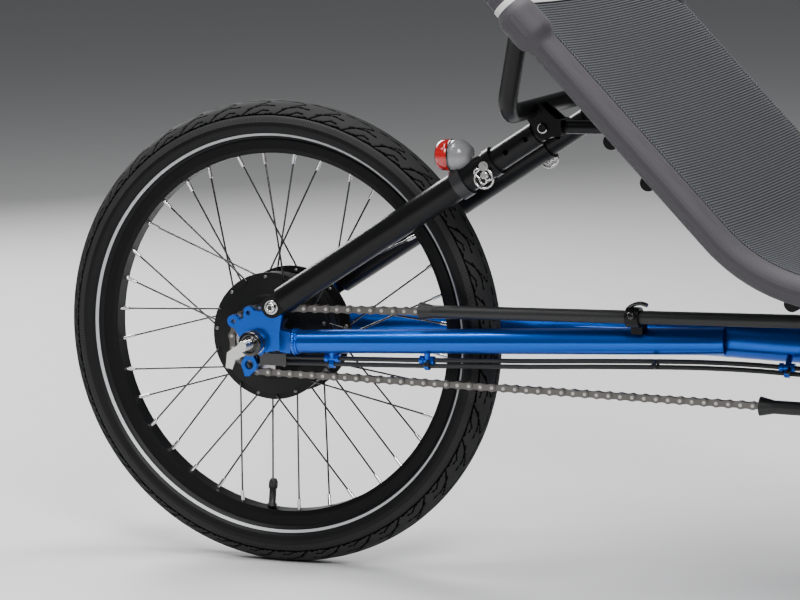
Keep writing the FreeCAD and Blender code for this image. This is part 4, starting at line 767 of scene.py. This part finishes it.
def lamp_details():
    """Ribbed red lens, black rim and smoked dome of the rear light."""
    centre = AXLE + Vector((229, -77, 206)) * MM
    back = Vector((-1, 0, 0))
    shells = {"tail_light_lens": (back, LENS, [(0, 16.2), (4, 16.3), (9, 16.0), (12, 14.8),
                                               (14.6, 12.2), (15.8, 8), (16.2, 3),
                                               (16.25, 0.5)]),
              "tail_light_rim": (-back, BLACK_GLOSS, [(-0.5, 16.6), (0.8, 16.6), (1.4, 16.3)]),
              "tail_light_dome": (-back, LAMP_DOME, [(1.2, 16.4), (5, 16.35), (11, 16.2),
                                                     (15, 14.2), (18.5, 11.6), (21.2, 9.2),
                                                     (22.3, 3), (22.4, 0.5)])}
    for name, (way, material, profile) in shells.items():
        bm = bmesh.new()
        add_turned(bm, centre, way, [(a * MM, r * MM) for a, r in profile], 48)
        piece(name, bm, [material], "stay_low_r")


# --- seat cover -----------------------------------------------------------------------------

RAIL_Y = 207 * MM
CORNER_R = 60 * MM
FLAP = 27 * MM                         # the sleeve's hem ends this far inside the rail's axis
SEAM = 3 * MM                          # the panel is sewn on this far inside the rail's crest
CLOTH_R = 13.9 * MM                    # middle of the cloth that wraps the rail
CLOTH_T = 1.1 * MM
PANEL_T = 1.5 * MM
SAG = 9 * MM
RIB_PITCH = 3.0 * MM
BAND_AT = 278 * MM                     # silver band's place down the backrest
BAND_HALF = 7.5 * MM
CLAMP_AT = 299.6 * MM                  # the brace's clamps, down the backrest
CLAMP_BULGE = 5.6 * MM
SEAT_BEND = AXLE + Vector((668.8, 0, 264)) * MM
SEAT_TOP_Z = AXLE.z + 566 * MM
SEAT_FRONT_X = AXLE.x + 850 * MM
BEND_L = SEAT_BEND_R * (BACK_SLOPE + BASE_SLOPE)
BEND_START = SEAT_BEND - Vector((math.sin(BACK_SLOPE), 0, math.cos(BACK_SLOPE))) * SEAT_BEND_R
BEND_END = SEAT_BEND + Vector((math.sin(BASE_SLOPE), 0, -math.cos(BASE_SLOPE))) * SEAT_BEND_R
BACK_L = (SEAT_TOP_Z - BEND_START.z) / math.sin(BACK_SLOPE)
BASE_L = (SEAT_FRONT_X - BEND_END.x) / math.cos(BASE_SLOPE)
SEAT_L = BACK_L + BEND_L + BASE_L


def seat_point(s, y, rise=0.0):
    """Place s along the rails from the seat's top, y across, and rise towards the rider."""
    if s < BACK_L:
        slope = BACK_SLOPE
        spot = BEND_START + Vector((math.cos(slope), 0, -math.sin(slope))) * (s - BACK_L)
    elif s < BACK_L + BEND_L:
        slope = BACK_SLOPE - (s - BACK_L) / SEAT_BEND_R
        spot = SEAT_BEND - Vector((math.sin(slope), 0, math.cos(slope))) * SEAT_BEND_R
    else:
        slope = -BASE_SLOPE
        spot = BEND_END + Vector((math.cos(slope), 0, -math.sin(slope))) * (s - BACK_L - BEND_L)
    return spot + Vector((0, y, 0)) + Vector((math.sin(slope), 0, math.cos(slope))) * rise


def rail_loop(step):
    """The rails' closed loop laid flat, as (s, y, outward s, outward y)."""
    half, r = RAIL_Y, CORNER_R
    starts = ((r, half), (SEAT_L, half - r), (SEAT_L - r, -half), (0.0, r - half))
    ways = ((1, 0), (0, -1), (-1, 0), (0, 1))
    runs = (SEAT_L - 2 * r, 2 * (half - r)) * 2
    loop = []
    for (s, y), (way_s, way_y), run in zip(starts, ways, runs):
        out_s, out_y = -way_y, way_s
        count = round(run / step)
        for k in range(count):
            gone = run * k / count
            loop.append((s + way_s * gone, y + way_y * gone, out_s, out_y))
        mid_s = s + way_s * run - out_s * r
        mid_y = y + way_y * run - out_y * r
        for k in range(12):
            a = math.pi / 2 * k / 12
            m_s = out_s * math.cos(a) + way_s * math.sin(a)
            m_y = out_y * math.cos(a) + way_y * math.sin(a)
            loop.append((mid_s + m_s * r, mid_y + m_y * r, m_s, m_y))
    return loop


def sleeve_section(offset, bulge=0.0):
    """Cloth from the rail's crest round its outside to the hem below, as (inward, rise)."""
    r = CLOTH_R + bulge
    line = [(r * math.cos(a), r * math.sin(a))
            for a in (math.radians(62 + k * 216 / 26) for k in range(27))]
    line += [(12 * MM, -r * 0.93), (19 * MM, -r * 0.86), (FLAP, -r * 0.80)]
    moved = []
    for k, (u, v) in enumerate(line):
        a, b = line[max(k - 1, 0)], line[min(k + 1, len(line) - 1)]
        du, dv = b[0] - a[0], b[1] - a[1]
        size = math.hypot(du, dv)
        moved.append((u + dv / size * offset, v - du / size * offset))
    return moved


def clamp_bulge(s):
    """The cloth stands out where it covers the brace's clamp."""
    near = min(1.0, max(0.0, (26 * MM - abs(s - CLAMP_AT)) / (13 * MM)))
    return CLAMP_BULGE * near * near * (3 - 2 * near)


def seat_sleeve():
    """Cloth sleeve that goes right round the seat's rails, with small gathers in its bends."""
    rows = []
    gone = 0.0
    last = None
    for s, y, m_s, m_y in rail_loop(4 * MM):
        here = Vector((s, y))
        gone += (here - last).length if last else 0.0
        last = here
        bulge = clamp_bulge(s)
        section = sleeve_section(CLOTH_T / 2, bulge)
        section += sleeve_section(-CLOTH_T / 2, bulge)[::-1]
        in_bend = 4 * m_s * m_s * m_y * m_y
        keep = 1 + math.sin(gone / (2.1 * MM)) * 0.03 * in_bend
        rows.append([seat_point(s - m_s * u * keep, y - m_y * u * keep, v * keep)
                     for u, v in section])
    obj = grid_object("seat_sleeve", rows, close_rows=True, close_columns=True)
    dress(obj, [SLEEVE], "seat")
    return obj, gone


def panel_rise(s, y):
    """Height of the slung panel, which leaves the rails' crests and sags between them."""
    across = 1 - min(1.0, abs(y) / (RAIL_Y - SEAM)) ** 2
    along = math.sin(math.pi * min(1.0, max(0.0, s / SEAT_L))) ** 0.7
    return CLOTH_R + 0.4 * MM - SAG * across * along


def panel_half(s):
    """Half the panel's width at s, with rounded corners."""
    r = CORNER_R - SEAM
    end = min(s, SEAT_L - s) - SEAM
    narrow = r - math.sqrt(max(0.0, r * r - (r - end) ** 2)) if end < r else 0.0
    return RAIL_Y - SEAM - narrow


def seat_panel():
    """Ribbed mesh stretched between the sleeves, with near-black painted shade in the ribs'
    valleys.
    """
    first = SEAM
    count = round((SEAT_L - 2 * first) / (RIB_PITCH / 4))
    sides = []
    for face in (1, -1):
        rows = []
        for i in range(count + 1):
            s = first + (SEAT_L - 2 * first) * i / count
            half = panel_half(s)
            rib = 0.35 * MM * math.cos(math.pi / 2 * i)
            row = []
            for j in range(29):
                y = half * (j / 14 - 1)
                calm = 1 - (abs(y) / half) ** 12 if half else 0.0
                row.append(seat_point(s, y, panel_rise(s, y) + rib * calm * face
                                      + face * PANEL_T / 2))
            rows.append(row[::face])
        sides.append(rows)
    rows = [top + bottom for top, bottom in zip(*sides)]
    obj = grid_object("seat_mesh", rows, close_columns=True)
    # the face rows round each rib's low point get the near-black painted shade
    valley_shade = [1 if i % 4 in (1, 2) else 0 for i in range(count) for _ in rows[0]]
    obj.data.polygons.foreach_set("material_index", valley_shade)
    bm = bmesh.new()
    bm.from_mesh(obj.data)
    bmesh.ops.holes_fill(bm, edges=[e for e in bm.edges if e.is_boundary])
    bmesh.ops.recalc_face_normals(bm, faces=bm.faces)
    bm.to_mesh(obj.data)
    bm.free()
    dress(obj, [MESH, MESH_VALLEY_SHADE], "seat")
    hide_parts("seat_cover")
    return obj


def seat_band():
    """Silver band sewn across the panel and round the outside of both sleeves."""
    wrap = [(RAIL_Y - u, v) for u, v in sleeve_section(0.9 * MM)]
    edge = wrap[0][0]
    path = [(-y, v) for y, v in wrap[::-1]]
    for k in range(1, 24):
        y = (k / 12 - 1) * edge
        path.append((y, panel_rise(BAND_AT, y) + 1.3 * MM))
    path += wrap
    rows = []
    for k, (y, v) in enumerate(path):
        before, after = path[max(k - 1, 0)], path[min(k + 1, len(path) - 1)]
        dy, dv = after[0] - before[0], after[1] - before[1]
        size = math.hypot(dy, dv)
        row = []
        for s, out in ((-1, 0), (-1, 0.4), (-0.9, 0.6), (0.9, 0.6), (1, 0.4), (1, 0)):
            row.append(seat_point(BAND_AT + s * BAND_HALF, y - dv / size * out * MM,
                                  v + dy / size * out * MM))
        rows.append(row)
    obj = grid_object("seat_band", rows, close_columns=True)
    return dress(obj, [BAND], "seat")


def seat_stitches():
    """Slanting stitches over the seam between the sleeve and the panel."""
    bm = bmesh.new()
    loop = rail_loop(3.6 * MM)
    rise = CLOTH_R + 1.2 * MM
    for (s, y, m_s, m_y), (s2, y2, n_s, n_y) in zip(loop, loop[1:] + loop[:1]):
        a = seat_point(s - m_s * 1.6 * MM, y - m_y * 1.6 * MM, rise)
        b = seat_point(s2 - n_s * 6.6 * MM, y2 - n_y * 6.6 * MM, rise)
        if (b - a).length > 4 * MM:
            add_tube(bm, [a.lerp(b, 0.05), a.lerp(b, 0.5), a.lerp(b, 0.95)], 0.45 * MM, 5)
    return piece("seat_stitches", bm, [THREAD], "seat")


def seat_cover():
    sleeve, loop_length = seat_sleeve()
    panel = seat_panel()
    band = seat_band()
    stitches = seat_stitches()
    section = sleeve_section(0.0)


# --- shift cables in front of the cross arm -------------------------------------------------

# Both loops run from the stop on the right cross arm to the shifter, in mm from the rear axle
LOOPS = {"shift_loop_upper": [(1004, -239, 33), (1005, -262, 39), (1001, -288, 58),
                              (988, -306, 92), (965, -313, 135), (938, -312, 170),
                              (912, -308, 190), (890.5, -305.2, 194.8)],
         "shift_loop_lower": [(1003, -239, 27), (1000, -262, 31), (991, -286, 50),
                              (977, -300, 84), (955, -304, 126), (930, -299, 164),
                              (908, -293, 187), (890.5, -291.2, 194.8)]}
HOUSING_D = 5 * MM


def shift_loops():
    """Free ends of both shift cables."""
    for name, points in LOOPS.items():
        path = smooth_path([AXLE + Vector(p) * MM for p in points], 10)
        bm = bmesh.new()
        add_tube(bm, path, HOUSING_D / 2, 12)
        loop = piece(name, bm, [PLASTIC], None)
        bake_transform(loop)


# --- finish of the CAD parts ----------------------------------------------------------------

def maths(nodes, links, operation, *values):
    """Math node; each value is a socket or a number."""
    node = nodes.new("ShaderNodeMath")
    node.operation = operation
    for k, value in enumerate(values):
        if isinstance(value, (int, float)):
            node.inputs[k].default_value = value
        else:
            links.new(value, node.inputs[k])
    return node.outputs[0]


def split_material(name, first, second, mask):
    """First finish, with the second one where mask(m, x, y, z) is 1."""
    material, nodes, links = new_material(name)
    place = nodes.new("ShaderNodeTexCoord")
    axes = nodes.new("ShaderNodeSeparateXYZ")
    links.new(place.outputs["Object"], axes.inputs[0])
    chosen = mask(lambda operation, *values: maths(nodes, links, operation, *values),
                  *axes.outputs)
    shader = nodes["Principled BSDF"]
    mix = nodes.new("ShaderNodeMixShader")
    links.new(chosen, mix.inputs[0])
    links.new(finish(nodes, links, shader, first), mix.inputs[1])
    other = nodes.new("ShaderNodeBsdfPrincipled")
    links.new(finish(nodes, links, other, second), mix.inputs[2])
    links.new(mix.outputs[0], nodes["Material Output"].inputs["Surface"])
    return material


def beyond(node, radius):
    """Mask: further than radius from the axis through a wheel part's middle."""
    centre = centre_of(node)

    def mask(m, x, _, z):
        dx, dz = m("SUBTRACT", x, centre.x), m("SUBTRACT", z, centre.z)
        away = m("SQRT", m("ADD", m("MULTIPLY", dx, dx), m("MULTIPLY", dz, dz)))
        return m("GREATER_THAN", away, radius)
    return mask


def rear_fittings_mask(m, x, _, z):
    """Mask: the painted guides and bridge behind the seat, under the chain stays' tops."""
    return m("MULTIPLY", m("LESS_THAN", z, 0.262), m("LESS_THAN", x, -0.1))


def nut_mask(m, x, y, z):
    """Mask: axle nuts outside the dropouts, and the cable box under the axle."""
    outside = m("GREATER_THAN", m("ABSOLUTE", y), 74.5 * MM)
    inside = m("LESS_THAN", m("ABSOLUTE", y), 66 * MM)
    low = m("LESS_THAN", z, AXLE.z - 12 * MM)
    ahead = m("GREATER_THAN", x, AXLE.x + 12 * MM)
    return m("MAXIMUM", m("MAXIMUM", outside, m("MULTIPLY", inside, low)), ahead)


def pin_mask(m, _, y, __):
    """Mask: ends of the chain's pins, outside its plates."""
    centre = centre_of("chain").y
    return m("GREATER_THAN", m("ABSOLUTE", m("SUBTRACT", y, centre)), 3.25 * MM)


def grip_mask(node):
    """Mask: the soft grip on the upper part of a handlebar."""
    centre_y = AXLE.y + math.copysign(300 * MM, centre_of(node).y)

    def mask(m, x, y, z):
        away_x = m("ABSOLUTE", m("SUBTRACT", x, AXLE.x + 856 * MM))
        away_y = m("ABSOLUTE", m("SUBTRACT", y, centre_y))
        near = m("LESS_THAN", m("MAXIMUM", away_x, away_y), 24 * MM)
        return m("MULTIPLY", near, m("GREATER_THAN", z, AXLE.z + 198 * MM))
    return mask


def lens_mask(m, x, _, __):
    """Mask: the lens at the back of the lamp."""
    return m("LESS_THAN", x, AXLE.x + 229 * MM)


def paint(material, *names):
    for name in names:
        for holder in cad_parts[name].material_slots:
            holder.material = material


def both(name):
    return name + "_left", name + "_right"


def paint_nodes():
    """A detailed finish on every CAD node that stays visible."""
    paint(BLUE, "main_tube", "boom", "derailleur_hanger", "seat_bracket", *both("chainstay"),
          *both("dropout"), *both("cross_arm"))
    paint(split_material("fittings_finish", BLACK, BLUE, rear_fittings_mask),
          "frame_fittings")
    paint(split_material("axle_end_finish", BRIGHT, BLACK_GLOSS, nut_mask), "rear_fasteners")
    paint(split_material("chain_finish", CHAIN, STEEL, pin_mask), "chain")
    for side in ("left", "right"):
        rim, hub, spokes = ("%s_front_%s" % (part, side) for part in ("rim", "hub", "spokes"))
        paint(RIM_BLACK, rim)
        paint(split_material(spokes + "_finish", BLACK_GLOSS, BRIGHT, beyond(hub, 0.182)),
              spokes)
        paint(split_material(hub + "_finish", HUB_BLACK, STEEL, beyond(hub, 0.031)), hub)
        bar = "handlebar_" + side
        paint(split_material(bar + "_finish", BLACK, GRIP, grip_mask(bar)), bar)
    paint(split_material("lamp_finish", LAMP_BODY, LAMP_DOME, lens_mask), "tail_light")
    paint(RIM_BLACK, "rear_rim")
    paint(HUB_BLACK, "rear_hub")
    paint(BLACK_GLOSS, "rear_spokes")
    paint(BRIGHT, "rear_axle", *both("lock_pin"))
    paint(STEEL, "rear_sprocket", "bottom_bracket")
    paint(BLACK, "seat_frame", "seat_brace", "chainring", *both("strut_lower"),
          *both("strut_upper"), *both("kingpin"), *both("caliper"), *both("crank"),
          *both("brake_lever"), *both("pedal"), "tie_rod")
    paint(PLASTIC, "chain_tube_upper", "chain_tube_lower", "idler_wheel", "shift_cables",
          "twist_shifter", *both("brake_cable"))


# --- the whole tricycle ---------------------------------------------------------------------

make_camera()
shift_loops()
make_stage()
paint_nodes()
tyre("rear_tyre_skin", "rear_tyre", "rear_wheel", 42, 81)
valve("valve_rear", "rear_wheel", AXLE, 265)
rear_wheel_details()
for each_side in ("left", "right"):
    tyre("tyre_skin_" + each_side, "tyre_front_" + each_side, "wheel_" + each_side[0], 20, 39)
    front_wheel_details(each_side)
rear_end_details()
frame_welds()
cable_ties()
tube_clamp_lever()
stay_details()
lamp_details()
seat_cover()
